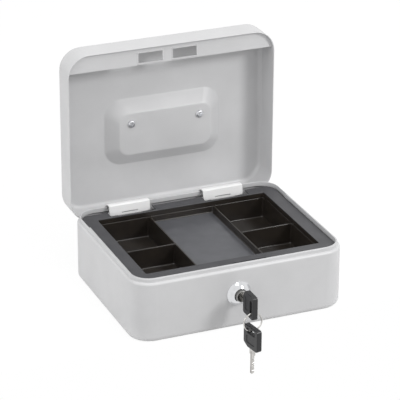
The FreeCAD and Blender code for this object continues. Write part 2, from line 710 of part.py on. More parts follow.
def key_bow_shape():
    """Moulded bow: one square and one sloped shoulder, a sunk panel on each face and a ring slot."""
    half = bow_width / 2
    outline = [(0.0, -half), (0.0, bow_neck), (-bow_taper, half), (-bow_length, half), (-bow_length, -half)]
    points = [V(-bow_thickness / 2, y, z) for y, z in outline]
    bow = Part.Face(Part.makePolygon(points + [points[0]])).extrude(V(bow_thickness, 0, 0))
    ends = [edge for edge in bow.Edges if edge.BoundBox.XLength > bow_thickness - 0.01
            and abs(edge.BoundBox.Center.z - bow_neck) > 0.01]
    bow = bow.makeFillet(bow_corner, ends)
    rims = [edge for edge in bow.Edges if edge.BoundBox.XLength < 1e-6 and edge.BoundBox.YMin < -0.01]
    bow = bow.makeFillet(bow_edge, rims)
    length, width, depth = bow_panel
    panel_y = -bow_taper - width / 2 - 0.8
    for side in (-1, 1):
        x0 = side * (bow_thickness / 2) - depth
        bow = bow.cut(slab(x0, x0 + 2 * depth, panel_y - width / 2, panel_y + width / 2,
                           -length / 2, length / 2))
    slot_half = (ring_slot[0] - ring_slot[1]) / 2
    y = ring_slot_y()
    radius = ring_slot[1] / 2
    bow = bow.cut(slab(-bow_thickness, bow_thickness, y - radius, y + radius, -slot_half, slot_half))
    for z in (-slot_half, slot_half):
        bow = bow.cut(rod(radius, V(-bow_thickness, y, z), V(1, 0, 0), 2 * bow_thickness))
    return bow.cut(key_blade_shape()).removeSplitter()


def ring_seat():
    """Wire centre to the slot's edge: the wire's curve across the bow's thickness is allowed for."""
    half = bow_thickness / 2 / math.cos(math.radians(spare_turn)) + ring_wire
    return ring_wire + ring_clearance + ring_radius - math.sqrt(ring_radius ** 2 - half ** 2)


def ring_top():
    """Centre of the ring's wire where it lies at the bottom of the inserted key's slot."""
    return V(lock_x, bow_start + ring_slot_y(), lock_z - ring_slot[0] / 2 + ring_seat())


def ring_bottom():
    """Centre of the ring's wire where the spare key hangs."""
    return ring_top() - V(0, 0, 2 * ring_radius)


def key_ring():
    """Wire ring through both bows."""
    centre = ring_top() - V(0, 0, ring_radius)
    return Part.makeTorus(ring_radius, ring_wire, centre, V(0, 1, 0))


def in_lock(shape):
    """Place a key in the lock."""
    shape.translate(V(lock_x, bow_start, lock_z))
    return shape


def hanging(shape):
    """Hang a key from the ring, blade down."""
    wire_y = ring_slot_y() - ring_slot[1] / 2 + ring_seat()
    shape.translate(V(0, -wire_y, 0))
    shape.rotate(V(0, 0, 0), V(1, 0, 0), -90)
    shape.rotate(V(0, 0, 0), V(0, 0, 1), spare_turn)
    shape.translate(ring_bottom())
    return shape


# ---------------------------------------------------------------- nodes
def main():
    """Build every node and write it."""
    os.makedirs("parts", exist_ok=True)
    export("base_shell", base_shell())
    export("tray_rail", tray_rail())
    for side, x in HINGE_SIDES.items():
        export("hinge_bracket_" + side, hinge_bracket(x))
        export("hinge_leaf_" + side, opened(hinge_leaf(x)))
    export("hinge_pins", Part.makeCompound(hinge_pins()))
    export("lid_shell", opened(lid_shell()))
    export("strike_plate", opened(strike_plate()))
    export("handle_bracket_left", opened(handle_bracket(-screw_x)))
    export("handle_bracket_right", opened(handle_bracket(screw_x)))
    export("handle_screws", opened(Part.makeCompound([handle_screw(-screw_x), handle_screw(screw_x)])))
    export("carry_handle", opened(carry_handle()))
    export("coin_tray", coin_tray())
    export("lock_housing", lock_housing())
    export("lock_nut", lock_nut())
    export("lock_plug", lock_plug())
    export("lock_wafers", Part.makeCompound(lock_wafers()))
    export("lock_cam", lock_cam())
    export("cam_clip", cam_clip())
    export("key_blade", in_lock(key_blade_shape()))
    export("key_head", in_lock(key_bow_shape()))
    export("key_ring", key_ring())
    export("spare_key_blade", hanging(key_blade_shape()))
    export("spare_key_head", hanging(key_bow_shape()))


main()
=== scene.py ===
import json
import logging
import math
from dataclasses import dataclass
from enum import Enum
from typing import Callable, Iterable, Sequence

import bmesh
import bpy
from mathutils import Matrix, Vector


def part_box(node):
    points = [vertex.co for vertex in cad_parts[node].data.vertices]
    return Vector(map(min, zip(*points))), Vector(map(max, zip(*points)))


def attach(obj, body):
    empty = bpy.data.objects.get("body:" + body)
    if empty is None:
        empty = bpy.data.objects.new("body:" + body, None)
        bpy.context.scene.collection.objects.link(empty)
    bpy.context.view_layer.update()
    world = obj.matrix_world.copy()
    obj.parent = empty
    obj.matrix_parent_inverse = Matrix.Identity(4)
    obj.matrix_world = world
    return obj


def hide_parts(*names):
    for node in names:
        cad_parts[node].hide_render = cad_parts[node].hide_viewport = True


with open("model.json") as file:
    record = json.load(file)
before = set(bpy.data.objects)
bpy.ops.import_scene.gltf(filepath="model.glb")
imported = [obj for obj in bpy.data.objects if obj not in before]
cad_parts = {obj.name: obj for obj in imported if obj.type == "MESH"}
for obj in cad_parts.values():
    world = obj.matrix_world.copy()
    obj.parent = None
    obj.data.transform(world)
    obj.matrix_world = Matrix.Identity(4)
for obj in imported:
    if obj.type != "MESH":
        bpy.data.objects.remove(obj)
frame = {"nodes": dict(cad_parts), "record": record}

LOG = logging.getLogger("cash_box")
MM = 0.001
PAST = 5.0                       # a cutting solid runs this far past what it cuts, in millimetres
FIT = 0.08                       # running fit of a pin, a shaft or a blade, in millimetres
BACKING = 0.8                    # the box's front wall, between the lock's collar and its nut
TIP = 0.01                       # radius of a turned solid's closed end
BEND_SHARE = 0.45        # a bend takes at most this share of the straight on each side
SHADE_SPAN = (0.35, 0.65)  # share of the noise over which dark turns to light
Outline = list[tuple[float, float]]
Ring = list[Vector]


class Body(Enum):
    """The moving bodies of the frame."""

    BASE = "base"
    LID = "lid"
    HANDLE = "handle"
    TRAY = "tray"
    PLUG = "plug"
    KEY = "key"
    RING = "ring"
    SPARE = "spare_key"


class Cut(Enum):
    """How one solid changes another."""

    REMOVE = "DIFFERENCE"
    ADD = "UNION"


def sweep(stop: float, steps: int) -> list[float]:
    """Evenly spaced angles from 0 to a number of degrees, both included, in radians."""
    return [math.radians(stop * step / steps) for step in range(steps + 1)]


# ---------------------------------------------------------------- places taken from the frame
def joint_place(name: str) -> Vector:
    """Point on a joint's axis.

    Args:
        name: the joint's name in the record.

    Returns:
        The point in millimetres.
    """
    joints = frame["record"]["behaviour"]["joints"]
    place = next(joint["pos_m"] for joint in joints if joint["name"] == name)
    return Vector(place) / MM


def node_box(name: str) -> tuple[Vector, Vector]:
    """Corners of a CAD node.

    Args:
        name: the node's name.

    Returns:
        The lowest and the highest corner, in millimetres.
    """
    low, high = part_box(name)
    return Vector(low) / MM, Vector(high) / MM


# ---------------------------------------------------------------- materials
def linear(code: str) -> tuple[float, float, float, float]:
    """Turn an sRGB hex colour into a linear one.

    Args:
        code: six hex digits after a hash.

    Returns:
        Red, green, blue and alpha.
    """
    parts = [int(code[i:i + 2], 16) / 255 for i in (1, 3, 5)]
    parts = [c / 12.92 if c <= 0.04045 else ((c + 0.055) / 1.055) ** 2.4 for c in parts]
    return (*parts, 1.0)


def per_mm(size: float) -> float:
    """Texture scale whose features are a given size in millimetres."""
    return 1 / (size * MM)


def add_node(tree: bpy.types.NodeTree, kind: str, settings: dict | None = None,
             values: dict | None = None, links: dict | None = None) -> bpy.types.Node:
    """Add a shader node with its settings, values and links.

    Args:
        tree: the node tree that takes it.
        kind: the node's type.
        settings: properties of the node.
        values: values by input socket.
        links: output sockets by input socket.

    Returns:
        The new node.
    """
    node = tree.nodes.new(kind)
    for key, value in (settings or {}).items():
        setattr(node, key, value)
    for key, value in (values or {}).items():
        node.inputs[key].default_value = value
    for key, source in (links or {}).items():
        tree.links.new(source, node.inputs[key])
    return node


def blank_material(name: str) -> tuple[bpy.types.Material, bpy.types.NodeTree, bpy.types.NodeSocket]:
    """Start a material.

    Args:
        name: the material's name.

    Returns:
        The material, its empty tree and its object coordinates.
    """
    material = bpy.data.materials.new(name)
    material.use_nodes = True
    tree = material.node_tree
    tree.nodes.clear()
    place = add_node(tree, "ShaderNodeTexCoord").outputs["Object"]
    return material, tree, place


def close_material(tree: bpy.types.NodeTree, values: dict, links: dict) -> None:
    """End a material with its shader.

    Args:
        tree: the material's tree.
        values: constant values of the shader.
        links: textures linked to the shader.
    """
    shader = add_node(tree, "ShaderNodeBsdfPrincipled", None, values, links)
    add_node(tree, "ShaderNodeOutputMaterial", None, None, {"Surface": shader.outputs[0]})


def mottle(tree: bpy.types.NodeTree, place: bpy.types.NodeSocket, size: float, low: str,
           high: str) -> bpy.types.NodeSocket:
    """Colour that drifts between two shades.

    Args:
        tree: the material's tree.
        place: texture coordinates.
        size: size of the patches in millimetres.
        low: darkest shade.
        high: lightest shade.

    Returns:
        The colour socket.
    """
    noise = add_node(tree, "ShaderNodeTexNoise", None, {"Scale": per_mm(size), "Detail": 4.0},
                     {"Vector": place})
    ramp = add_node(tree, "ShaderNodeValToRGB", None, None, {"Fac": noise.outputs["Fac"]})
    for element, position, shade in zip(ramp.color_ramp.elements, SHADE_SPAN, (low, high)):
        element.position = position
        element.color = linear(shade)
    return ramp.outputs["Color"]


def relief(tree: bpy.types.NodeTree, place: bpy.types.NodeSocket, size: float, height: float,
           detail: float, strength: float = 1.0) -> tuple[bpy.types.NodeSocket, bpy.types.NodeSocket]:
    """Fine relief of a surface.

    Args:
        tree: the material's tree.
        place: texture coordinates.
        size: size of its features in millimetres.
        height: their height in millimetres.
        detail: how many finer layers they carry.
        strength: strength of the bump.

    Returns:
        The pattern of heights, and the bumped normal.
    """
    noise = add_node(tree, "ShaderNodeTexNoise", None, {"Scale": per_mm(size), "Detail": detail},
                     {"Vector": place})
    bump = add_node(tree, "ShaderNodeBump", None, {"Strength": strength, "Distance": height * MM},
                    {"Height": noise.outputs["Fac"]})
    return noise.outputs["Fac"], bump.outputs[0]


@dataclass(frozen=True)
class PowderCoat:
    """Polyester powder, baked on steel. It flows into soft pebbles that break up reflections."""

    name: str
    light: str
    dark: str
    roughness: float = 0.38
    pebble_mm: float = 1.3       # drawn a little coarser than the real 0.8, so that it shows
    pebble_height_mm: float = 0.012
    patch_mm: float = 35.0       # the coat's shade drifts over this distance

    def build(self) -> bpy.types.Material:
        """Make the material."""
        material, tree, place = blank_material(self.name)
        _, normal = relief(tree, place, self.pebble_mm, self.pebble_height_mm, 1.5)
        colour = mottle(tree, place, self.patch_mm, self.dark, self.light)
        close_material(tree, {"Roughness": self.roughness, "IOR": 1.5, "Coat Weight": 0.15,
                              "Coat Roughness": 0.18}, {"Base Color": colour, "Normal": normal})
        return material


@dataclass(frozen=True)
class Metal:
    """Bare or plated metal. Fine marks along one axis stretch its highlights."""

    name: str
    light: str
    dark: str
    roughness: float
    mark_mm: float = 0.25        # drawn coarser than real machining marks, so that they show
    mark_height_mm: float = 0.004
    patch_mm: float = 4.0
    stretch: tuple[float, float, float] = (1.0, 1.0, 1.0)

    def build(self) -> bpy.types.Material:
        """Make the material."""
        material, tree, place = blank_material(self.name)
        mapping = add_node(tree, "ShaderNodeMapping", None, {"Scale": self.stretch}, {"Vector": place})
        marks, normal = relief(tree, mapping.outputs[0], self.mark_mm, self.mark_height_mm, 3.0, 0.6)
        rough = add_node(tree, "ShaderNodeMapRange", None,
                         {"To Min": self.roughness * 0.8, "To Max": self.roughness * 1.3},
                         {"Value": marks})
        colour = mottle(tree, place, self.patch_mm, self.dark, self.light)
        close_material(tree, {"Metallic": 1.0},
                       {"Base Color": colour, "Roughness": rough.outputs[0], "Normal": normal})
        return material


@dataclass(frozen=True)
class MouldedPlastic:
    """Injection-moulded plastic. The mould's spark-eroded grain scatters its sheen."""

    name: str
    light: str
    dark: str
    roughness: float
    grain_mm: float
    grain_height_mm: float
    patch_mm: float = 12.0
    ior: float = 1.54

    def build(self) -> bpy.types.Material:
        """Make the material."""
        material, tree, place = blank_material(self.name)
        _, normal = relief(tree, place, self.grain_mm, self.grain_height_mm, 2.5)
        colour = mottle(tree, place, self.patch_mm, self.dark, self.light)
        close_material(tree, {"Roughness": self.roughness, "IOR": self.ior},
                       {"Base Color": colour, "Normal": normal})
        return material


@dataclass(frozen=True)
class Finishes:
    """Every material of the box."""

    box: bpy.types.Material
    hinge: bpy.types.Material
    steel: bpy.types.Material
    chrome: bpy.types.Material
    plug: bpy.types.Material
    brass: bpy.types.Material
    nickel: bpy.types.Material
    flange: bpy.types.Material
    pocket: bpy.types.Material
    centre: bpy.types.Material
    key: bpy.types.Material

    @classmethod
    def make(cls) -> "Finishes":
        """Build the set."""
        return cls(
            box=PowderCoat("polyester_powder_coat_light_grey", "#d0d0d1", "#cbcbcc").build(),
            hinge=PowderCoat("polyester_powder_coat_white", "#f8f8f8", "#f2f2f2", 0.34).build(),
            steel=Metal("zinc_plated_steel", "#d8d9dc", "#cacbce", 0.28).build(),
            chrome=Metal("chrome_plated_zinc", "#dfe0e2", "#d6d7d9", 0.07, 0.6, 0.001).build(),
            # plug: nickel brass darkened, a painted dark reflection on its face
            plug=Metal("turned_nickel_brass_painted_dark_reflection", "#8b8a88", "#7b7a78", 0.24).build(),
            brass=Metal("stamped_brass", "#d9b46a", "#c9a055", 0.3).build(),
            nickel=Metal("nickel_plated_steel", "#d2d0cd", "#bcbab7", 0.2, 0.4, 0.004,
                         stretch=(1.0, 0.12, 1.0)).build(),
            flange=MouldedPlastic("grained_polystyrene", "#434346", "#3c3c3f", 0.5, 0.9, 0.03).build(),
            # pockets: the flange's plastic, darker for painted shade in the pockets and browner for a painted
            # reflection
            pocket=MouldedPlastic("polished_polystyrene_painted_shade", "#2a2520", "#231f1c", 0.3, 6.0, 0.01).build(),
            # middle floor: the tray's plastic made lighter, a painted reflection of the lid
            centre=MouldedPlastic("satin_polystyrene_painted_reflection", "#595a5e", "#525357", 0.3, 0.9, 0.012).build(),
            key=MouldedPlastic("moulded_abs_black", "#101013", "#0c0c0f", 0.36, 0.5, 0.012).build())


# ---------------------------------------------------------------- mesh tools, in millimetres
def new_object(name: str, points: Iterable[Vector], faces: Sequence[Sequence[int]]) -> bpy.types.Object:
    """Make a mesh object.

    Args:
        name: the object's name.
        points: vertices in millimetres.
        faces: vertex numbers of each face.

    Returns:
        The object, in the scene.
    """
    mesh = bpy.data.meshes.new(name)
    mesh.from_pydata([Vector(point) * MM for point in points], [], faces)
    mesh.validate()
    piece = bpy.data.objects.new(name, mesh)
    bpy.context.scene.collection.objects.link(piece)
    return piece


def skin(name: str, rings: Sequence[Ring], looped: bool = False) -> bpy.types.Object:
    """Stretch a closed surface over rings with equal numbers of points.

    Args:
        name: the object's name.
        rings: the rings in order.
        looped: join the last ring to the first. Otherwise both are closed with a face.

    Returns:
        The object.
    """
    count = len(rings[0])
    faces = []
    pairs = list(zip(range(len(rings)), range(1, len(rings))))
    if looped:
        pairs.append((len(rings) - 1, 0))
    for a, b in pairs:
        for i in range(count):
            j = (i + 1) % count
            faces.append((a * count + i, a * count + j, b * count + j, b * count + i))
    if not looped:
        faces.append(tuple(reversed(range(count))))
        faces.append(tuple((len(rings) - 1) * count + i for i in range(count)))
    return new_object(name, [point for ring in rings for point in ring], faces)


@dataclass(frozen=True)
class Rounded:
    """A rectangle with round corners, seen in plan."""

    x0: float
    x1: float
    y0: float
    y1: float
    radius: float

    def inset(self, by: float, corner: float | None = None) -> "Rounded":
        """The same outline moved inward, with its corner radius reduced to match or as given."""
        radius = max(self.radius - by, 0.05) if corner is None else corner
        return Rounded(self.x0 + by, self.x1 - by, self.y0 + by, self.y1 - by, radius)

    def ring(self, z: float, steps: int = 12) -> Ring:
        """Points of the outline at a height.

        Args:
            z: the height.
            steps: straight pieces in each corner.

        Returns:
            The points, anticlockwise from the right front corner.
        """
        r = min(self.radius, (self.x1 - self.x0) / 2 - 0.01, (self.y1 - self.y0) / 2 - 0.01)
        centres = [(self.x1 - r, self.y0 + r, -90), (self.x1 - r, self.y1 - r, 0),
                   (self.x0 + r, self.y1 - r, 90), (self.x0 + r, self.y0 + r, 180)]
        points = []
        for cx, cy, start in centres:
            for step in range(steps + 1):
                angle = math.radians(start + 90 * step / steps)
                points.append(Vector((cx + r * math.cos(angle), cy + r * math.sin(angle), z)))
        return points


def block(name: str, low: Sequence[float], high: Sequence[float], radius: float = 0.0) -> bpy.types.Object:
    """Upright block with round vertical corners.

    Args:
        name: the object's name.
        low: lowest corner.
        high: highest corner.
        radius: corner radius in plan.

    Returns:
        The object.
    """
    plan = Rounded(low[0], high[0], low[1], high[1], max(radius, 0.02))
    steps = 6 if radius else 1
    return skin(name, [plan.ring(low[2], steps), plan.ring(high[2], steps)])


def turned(name: str, profile: Outline, centre: Vector, steps: int = 64,
           looped: bool = False) -> bpy.types.Object:
    """Solid turned about an axis along Y.

    Args:
        name: the object's name.
        profile: (radius, y) points.
        centre: a point on the axis.
        steps: straight pieces round the axis.
        looped: the profile closes on itself, so the solid has a bore.

    Returns:
        The object.
    """
    rings = [[Vector((centre.x + radius * math.cos(a), y, centre.z + radius * math.sin(a)))
              for a in sweep(360, steps)[:-1]] for radius, y in profile]
    return skin(name, rings, looped)


def hoop(x: float, centre: Vector, radius: float, steps: int) -> Ring:
    """Circle across the X axis.

    Args:
        x: its place on the axis.
        centre: a point on the axis.
        radius: its radius.
        steps: straight pieces round it.

    Returns:
        Its points.
    """
    return [Vector((x, centre.y + radius * math.cos(a), centre.z + radius * math.sin(a)))
            for a in sweep(360, steps)[:-1]]


def plate(name: str, outline: Outline, start: float, stop: float) -> bpy.types.Object:
    """Flat outline extruded along X.

    Args:
        name: the object's name.
        outline: (y, z) points.
        start: where the plate starts in X.
        stop: where it stops.

    Returns:
        The object.
    """
    return skin(name, [[Vector((x, y, z)) for y, z in outline] for x in (start, stop)])


def evaluated(piece: bpy.types.Object) -> None:
    """Replace a piece's mesh with the result of its modifiers."""
    bpy.context.view_layer.update()
    graph = bpy.context.evaluated_depsgraph_get()
    mesh = bpy.data.meshes.new_from_object(piece.evaluated_get(graph))
    piece.modifiers.clear()
    piece.data = mesh


def carve(piece: bpy.types.Object, tools: Sequence[bpy.types.Object], cut: Cut = Cut.REMOVE) -> None:
    """Add or remove solids, then delete them.

    Args:
        piece: the solid that changes.
        tools: the solids to add or remove.
        cut: add or remove.
    """
    for tool in tools:
        face_outward(tool)
        modifier = piece.modifiers.new(tool.name, "BOOLEAN")
        modifier.operation = cut.value
        modifier.solver = "EXACT"
        modifier.object = tool
    evaluated(piece)
    for tool in tools:
        bpy.data.objects.remove(tool)


def face_outward(piece: bpy.types.Object) -> None:
    """Turn every face of a closed mesh outward."""
    work = bmesh.new()
    work.from_mesh(piece.data)
    bmesh.ops.recalc_face_normals(work, faces=work.faces)
    work.to_mesh(piece.data)
    work.free()


def soften(piece: bpy.types.Object, width: float, angle: float = 40.0, segments: int = 3) -> None:
    """Round a piece's sharp edges.

    Args:
        piece: the piece.
        width: width of the rounding in millimetres.
        angle: edges sharper than this are rounded, in degrees.
        segments: straight pieces in the rounding.
    """
    modifier = piece.modifiers.new("softened_edges", "BEVEL")
    modifier.width = width * MM
    modifier.segments = segments
    modifier.limit_method = "ANGLE"
    modifier.angle_limit = math.radians(angle)
    modifier.use_clamp_overlap = True
    evaluated(piece)


def join(name: str, parts: Sequence[bpy.types.Object]) -> bpy.types.Object:
    """Put several meshes in one piece.

    Args:
        name: the piece's name.
        parts: the meshes.

    Returns:
        The piece.
    """
    work = bmesh.new()
    for part in parts:
        face_outward(part)
        work.from_mesh(part.data)
    mesh = bpy.data.meshes.new(name)
    work.to_mesh(mesh)
    work.free()
    for part in parts:
        bpy.data.objects.remove(part)
    piece = bpy.data.objects.new(name, mesh)
    bpy.context.scene.collection.objects.link(piece)
    return piece


def moved(piece: bpy.types.Object, change: Callable[[Vector], Vector]) -> bpy.types.Object:
    """Move every point of a piece.

    Args:
        piece: the piece.
        change: gives a point's new place, in millimetres.

    Returns:
        The piece.
    """
    for vertex in piece.data.vertices:
        vertex.co = change(vertex.co / MM) * MM
    return piece


def dress(piece: bpy.types.Object, body: Body, finish: bpy.types.Material,
          nodes: Sequence[str], sharp: float = 35.0) -> None:
    """Give a piece its finish and its place in the frame.

    Args:
        piece: the piece.
        body: the body that it rides on.
        finish: its material.
        nodes: the CAD nodes that it stands for.
        sharp: edges above this angle stay crisp, in degrees.
    """
    face_outward(piece)
    piece.data.materials.clear()
    piece.data.materials.append(finish)
    piece.data.shade_smooth()
    piece.data.set_sharp_from_angle(angle=math.radians(sharp))
    weighted = piece.modifiers.new("even_normals", "WEIGHTED_NORMAL")
    weighted.keep_sharp = True
    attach(piece, body.value)
    if nodes:
        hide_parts(*nodes)
    LOG.info("made %s", piece.name)


def finish_node(name: str, finish: bpy.types.Material) -> None:
    """Give a CAD node that is shown as it is a finish.

    Args:
        name: the node's name.
        finish: its material.
    """
    for slot in frame["nodes"][name].material_slots:
        slot.material = finish
    LOG.info("finished %s", name)


def opened(point: Vector) -> Vector:
    """Place of a closed lid's point with the lid open.

    Args:
        point: the point with the lid closed.

    Returns:
        The point after a quarter turn about the hinge pins.
    """
    hinge = joint_place("lid_hinge")
    return Vector((point.x, hinge.y + point.z - hinge.z, hinge.z - (point.y - hinge.y)))


# ---------------------------------------------------------------- base
@dataclass
class CashBoxBase:
    """Drawn steel base with its shoulder, lip, tray rail and hinge brackets."""

    finishes: Finishes
    sheet: float = 0.8
    corner: float = 20.0
    bottom_edge: float = 5.0
    shoulder: float = 56.5
    shoulder_radius: float = 2.4
    lip_inset: float = 2.5
    rail_ledge_drop: float = 4.8
    rail_ledge: float = 4.0
    notch_clearance: float = 1.0
    lock_hole: float = 7.1
    lip_foot: float = 0.1        # the lip is straight from this far above the shoulder
    bore_reach: float = 2.0      # the lock's bore is cut this far to each side of the front
    mitre_ends: tuple[float, float] = (0.9, 0.1)  # the rear cut's foot behind the rail, its top above it

    def __post_init__(self) -> None:
        """Read the box's outline and height from the frame."""
        self.lip_top = node_box("base_shell")[1].z
        rail_low, rail_high = node_box("tray_rail")
        lip_inner = self.lip_inset + self.sheet
        front = rail_low.y - lip_inner
        self.plan = Rounded(rail_low.x - lip_inner, rail_high.x + lip_inner, front, -front, self.corner)

    def build(self) -> None:
        """Make the base's pieces."""
        self.shell()
        self.rail()
        for side in ("left", "right"):
            finish_node("hinge_bracket_" + side, self.finishes.hinge)
        finish_node("hinge_pins", self.finishes.steel)

    def rings(self) -> list[Ring]:
        """Section of the shell, from the middle of its underside to the middle of its floor."""
        edge, wall = self.bottom_edge, self.sheet
        section = [(edge - math.sin(a) * edge, edge - math.cos(a) * edge)
                   for a in sweep(90, 6)]
        turn = self.shoulder_radius
        section += [(turn * (1 - math.cos(a)), self.shoulder - turn + turn * math.sin(a))
                    for a in sweep(90, 6)]
        half = wall / 2
        middle = self.lip_inset + half
        section += [(self.lip_inset, self.shoulder + self.lip_foot)]
        section += [(middle - half * math.cos(a), self.lip_top - half + half * math.sin(a))
                    for a in sweep(180, 6)]
        inner_turn = turn - wall
        section += [(self.lip_inset + wall, self.shoulder - wall)]
        section += [(wall + inner_turn * (1 - math.sin(a)), self.shoulder - turn + inner_turn * math.cos(a))
                    for a in sweep(90, 5)]
        inner_edge = edge - wall
        section += [(wall + inner_edge * (1 - math.cos(a)), edge - inner_edge * math.sin(a))
                    for a in sweep(90, 6)]
        return [self.plan.inset(inset).ring(z) for inset, z in section]

    def shell(self) -> None:
        """The drawn shell, notched for the hinges and bored for the lock."""
        piece = skin("base_shell_steel", self.rings())
        face_outward(piece)
        tools = []
        for side in ("left", "right"):
            low, high = node_box("hinge_bracket_" + side)
            clear = self.notch_clearance
            rear = self.plan.y1
            lip_inner = rear - self.lip_inset - self.sheet - 1
            tools.append(block("notch", (low.x - clear, lip_inner, self.shoulder),
                               (high.x + clear, rear + 1, self.lip_top + 1)))
        lock = joint_place("lock_turn")
        front = self.plan.y0
        tools.append(turned("bore", [(self.lock_hole, front + side * self.bore_reach) for side in (-1, 1)],
                            lock, 48))
        carve(piece, tools)
        dress(piece, Body.BASE, self.finishes.box, ["base_shell"])

    def rail(self) -> None:
        """The angle strip that carries the tray."""
        low, high = node_box("tray_rail")
        inner = self.lip_inset + self.sheet
        sheet = self.sheet
        ledge = self.lip_top - self.rail_ledge_drop
        half = sheet / 2
        section = [(inner, low.z)]
        section += [(inner + half - half * math.cos(a), high.z - half + half * math.sin(a))
                    for a in sweep(180, 6)]
        section += [(inner + sheet, ledge), (inner + sheet + self.rail_ledge, ledge),
                    (inner + sheet + self.rail_ledge, ledge - sheet), (inner + sheet, ledge - sheet),
                    (inner + sheet, low.z)]
        piece = skin("tray_rail_strip", [self.plan.inset(inset).ring(z) for inset, z in section],
                     looped=True)
        slope = high.z - low.z
        end = high.y - slope
        rear = self.plan.y1 + PAST
        wide = self.plan.x1 + PAST
        back, above = self.mitre_ends
        tool = plate("rear_end", [(high.y + back, low.z - 1), (end, high.z + above), (end, high.z + PAST),
                                  (rear, high.z + PAST), (rear, low.z - 1)], -wide, wide)
        window_low, window_high = CamWindow().span()
        window = block("cam_window", (window_low.x, self.plan.y0, ledge - 2 * sheet),
                       (window_high.x, window_high.y, ledge + 0.5))
        front_web = block("keep", (window_low.x - 1, self.plan.y0 - 1, ledge - 3 * sheet),
                          (window_high.x + 1, self.plan.y0 + inner + sheet, ledge + 1))
        carve(window, [front_web])
        carve(piece, [tool, window])
        dress(piece, Body.BASE, self.finishes.box, ["tray_rail"])


@dataclass
class CamWindow:
    """Opening in the rail and in the tray's flange, which the cam swings through."""

    left: float = -0.8
    right: float = 30.5
    rear: float = 12.0           # behind the front face
    front: float = 4.1

    def span(self) -> tuple[Vector, Vector]:
        """Its lowest and highest corners, with no height."""
        lock = joint_place("lock_turn")
        face = node_box("lock_nut")[0].y - BACKING
        return (Vector((lock.x + self.left, face + self.front, 0)),
                Vector((lock.x + self.right, face + self.rear, 0)))


# ---------------------------------------------------------------- lid
@dataclass
class Lid:
    """Drawn lid with its handle dish and strike plate. Its meshes are laid out closed."""

    finishes: Finishes
    plan: Rounded
    sheet: float = 0.8
    edge: float = 5.0
    gap: float = 0.3
    shoulder: float = 56.5
    depth: float = 27.7
    dish: Rounded = Rounded(-56.0, 56.0, -22.05, 40.45, 16.0)
    dish_run: float = 11.7
    dish_depth: float = 9.0
    dish_floor_corner: float = 9.0
    dish_edge: float = 2.6       # rounding at the dish's mouth
    dish_foot: float = 3.2       # rounding at its floor

    def build(self) -> None:
        """Make the lid's pieces."""
        self.shell()
        self.strike()

    def dish_rings(self, grow: float, drop: float) -> list[Ring]:
        """Rings down the dish's slope.

        Args:
            grow: how far the surface lies outside the dish's own.
            drop: how far it lies below it.

        Returns:
            The rings from the mouth to the floor.
        """
        top = self.shoulder + self.gap + self.depth
        slope = math.atan2(self.dish_depth, self.dish_run)
        turns = sweep(math.degrees(slope), 6)
        reach = self.dish_edge * math.tan(slope / 2)
        profile = [(self.dish_edge * math.sin(a) - reach, self.dish_edge * (1 - math.cos(a))) for a in turns]
        reach = self.dish_run + self.dish_foot * math.tan(slope / 2)
        profile += [(reach - self.dish_foot * math.sin(a),
                     self.dish_depth - self.dish_foot * (1 - math.cos(a))) for a in reversed(turns)]
        rings = []
        for inward, fall in profile:
            share = min(max(inward / self.dish_run, 0.0), 1.0)
            corner = self.dish.radius + (self.dish_floor_corner - self.dish.radius) * share + grow
            rings.append(self.dish.inset(inward - grow, corner).ring(top - drop - fall))
        return rings

    def shell(self) -> None:
        """The drawn lid."""
        low = self.shoulder + self.gap
        top = low + self.depth
        wall = self.sheet
        rings = list(reversed(self.dish_rings(0.0, 0.0)))
        radius = self.edge
        arc = sweep(90, 6)
        rings += [self.plan.inset(radius * (1 - math.sin(a))).ring(top - radius * (1 - math.cos(a)))
                  for a in arc]
        half = wall / 2
        rings += [self.plan.inset(half - half * math.cos(a)).ring(low + half - half * math.sin(a))
                  for a in sweep(180, 6)]
        inner = radius - wall
        rings += [self.plan.inset(wall + inner * (1 - math.cos(a))).ring(top - radius + inner * math.sin(a))
                  for a in arc]
        rings += self.dish_rings(wall, wall)
        piece = moved(skin("lid_shell_steel", rings), opened)
        dress(piece, Body.LID, self.finishes.box, ["lid_shell"])

    def strike(self) -> None:
        """The slotted strip inside the lid's front."""
        piece = StrikePlate().build(self.plan.inset(self.sheet), self.shoulder + self.gap)
        dress(moved(piece, opened), Body.LID, self.finishes.box, ["strike_plate"])


@dataclass
class StrikePlate:
    """Strip with two framed slots."""

    sheet: float = 0.9
    lift: float = 3.5
    width: float = 16.4
    slot_length: float = 23.2
    slot_width: float = 9.2
    bar: float = 9.9
    front_margin: float = 5.2
    slot_corner: float = 0.5
    border: float = 1.4
    border_slope: float = 0.4
    border_height: float = 0.35
    border_root: float = 0.1     # the frame is sunk this far in the strip

    def build(self, plan: Rounded, edge: float) -> bpy.types.Object:
        """Make the strip.

        Args:
            plan: the lid's inner outline.
            edge: height of the closed lid's edge.

        Returns:
            The strip, in the closed lid's place.
        """
        low = edge + self.lift
        strip = skin("strike_strip", [plan.ring(low, 20), plan.ring(low + self.sheet, 20)])
        inner = plan.y0 + self.width
        rear = block("rear", (plan.x0 - PAST, inner, low - PAST),
                     (plan.x1 + PAST, plan.y1 + PAST, low + PAST))
        carve(strip, [rear])
        lock = joint_place("lock_turn")
        y0 = plan.y0 + self.front_margin
        right = lock.x + self.bar / 2
        places = [right - self.bar - self.slot_length, right]
        borders = []
        for x in places:
            mouth = Rounded(x, x + self.slot_length, y0, y0 + self.slot_width, self.slot_corner)
            face, root = low - self.border_height, low + self.border_root
            crest = self.border - self.border_slope
            foot = mouth.inset(-self.border, self.border)
            rings = [mouth.ring(root, 4), mouth.ring(face, 4), mouth.inset(-crest, crest).ring(face, 4),
                     foot.ring(low, 4), foot.ring(root, 4)]
            borders.append(skin("border", rings, looped=True))
        tools = [block("slot", (x, y0, low - PAST), (x + self.slot_length, y0 + self.slot_width, low + PAST),
                       self.slot_corner) for x in places]
        carve(strip, tools)
        return join("strike_plate_steel", [strip, *borders])


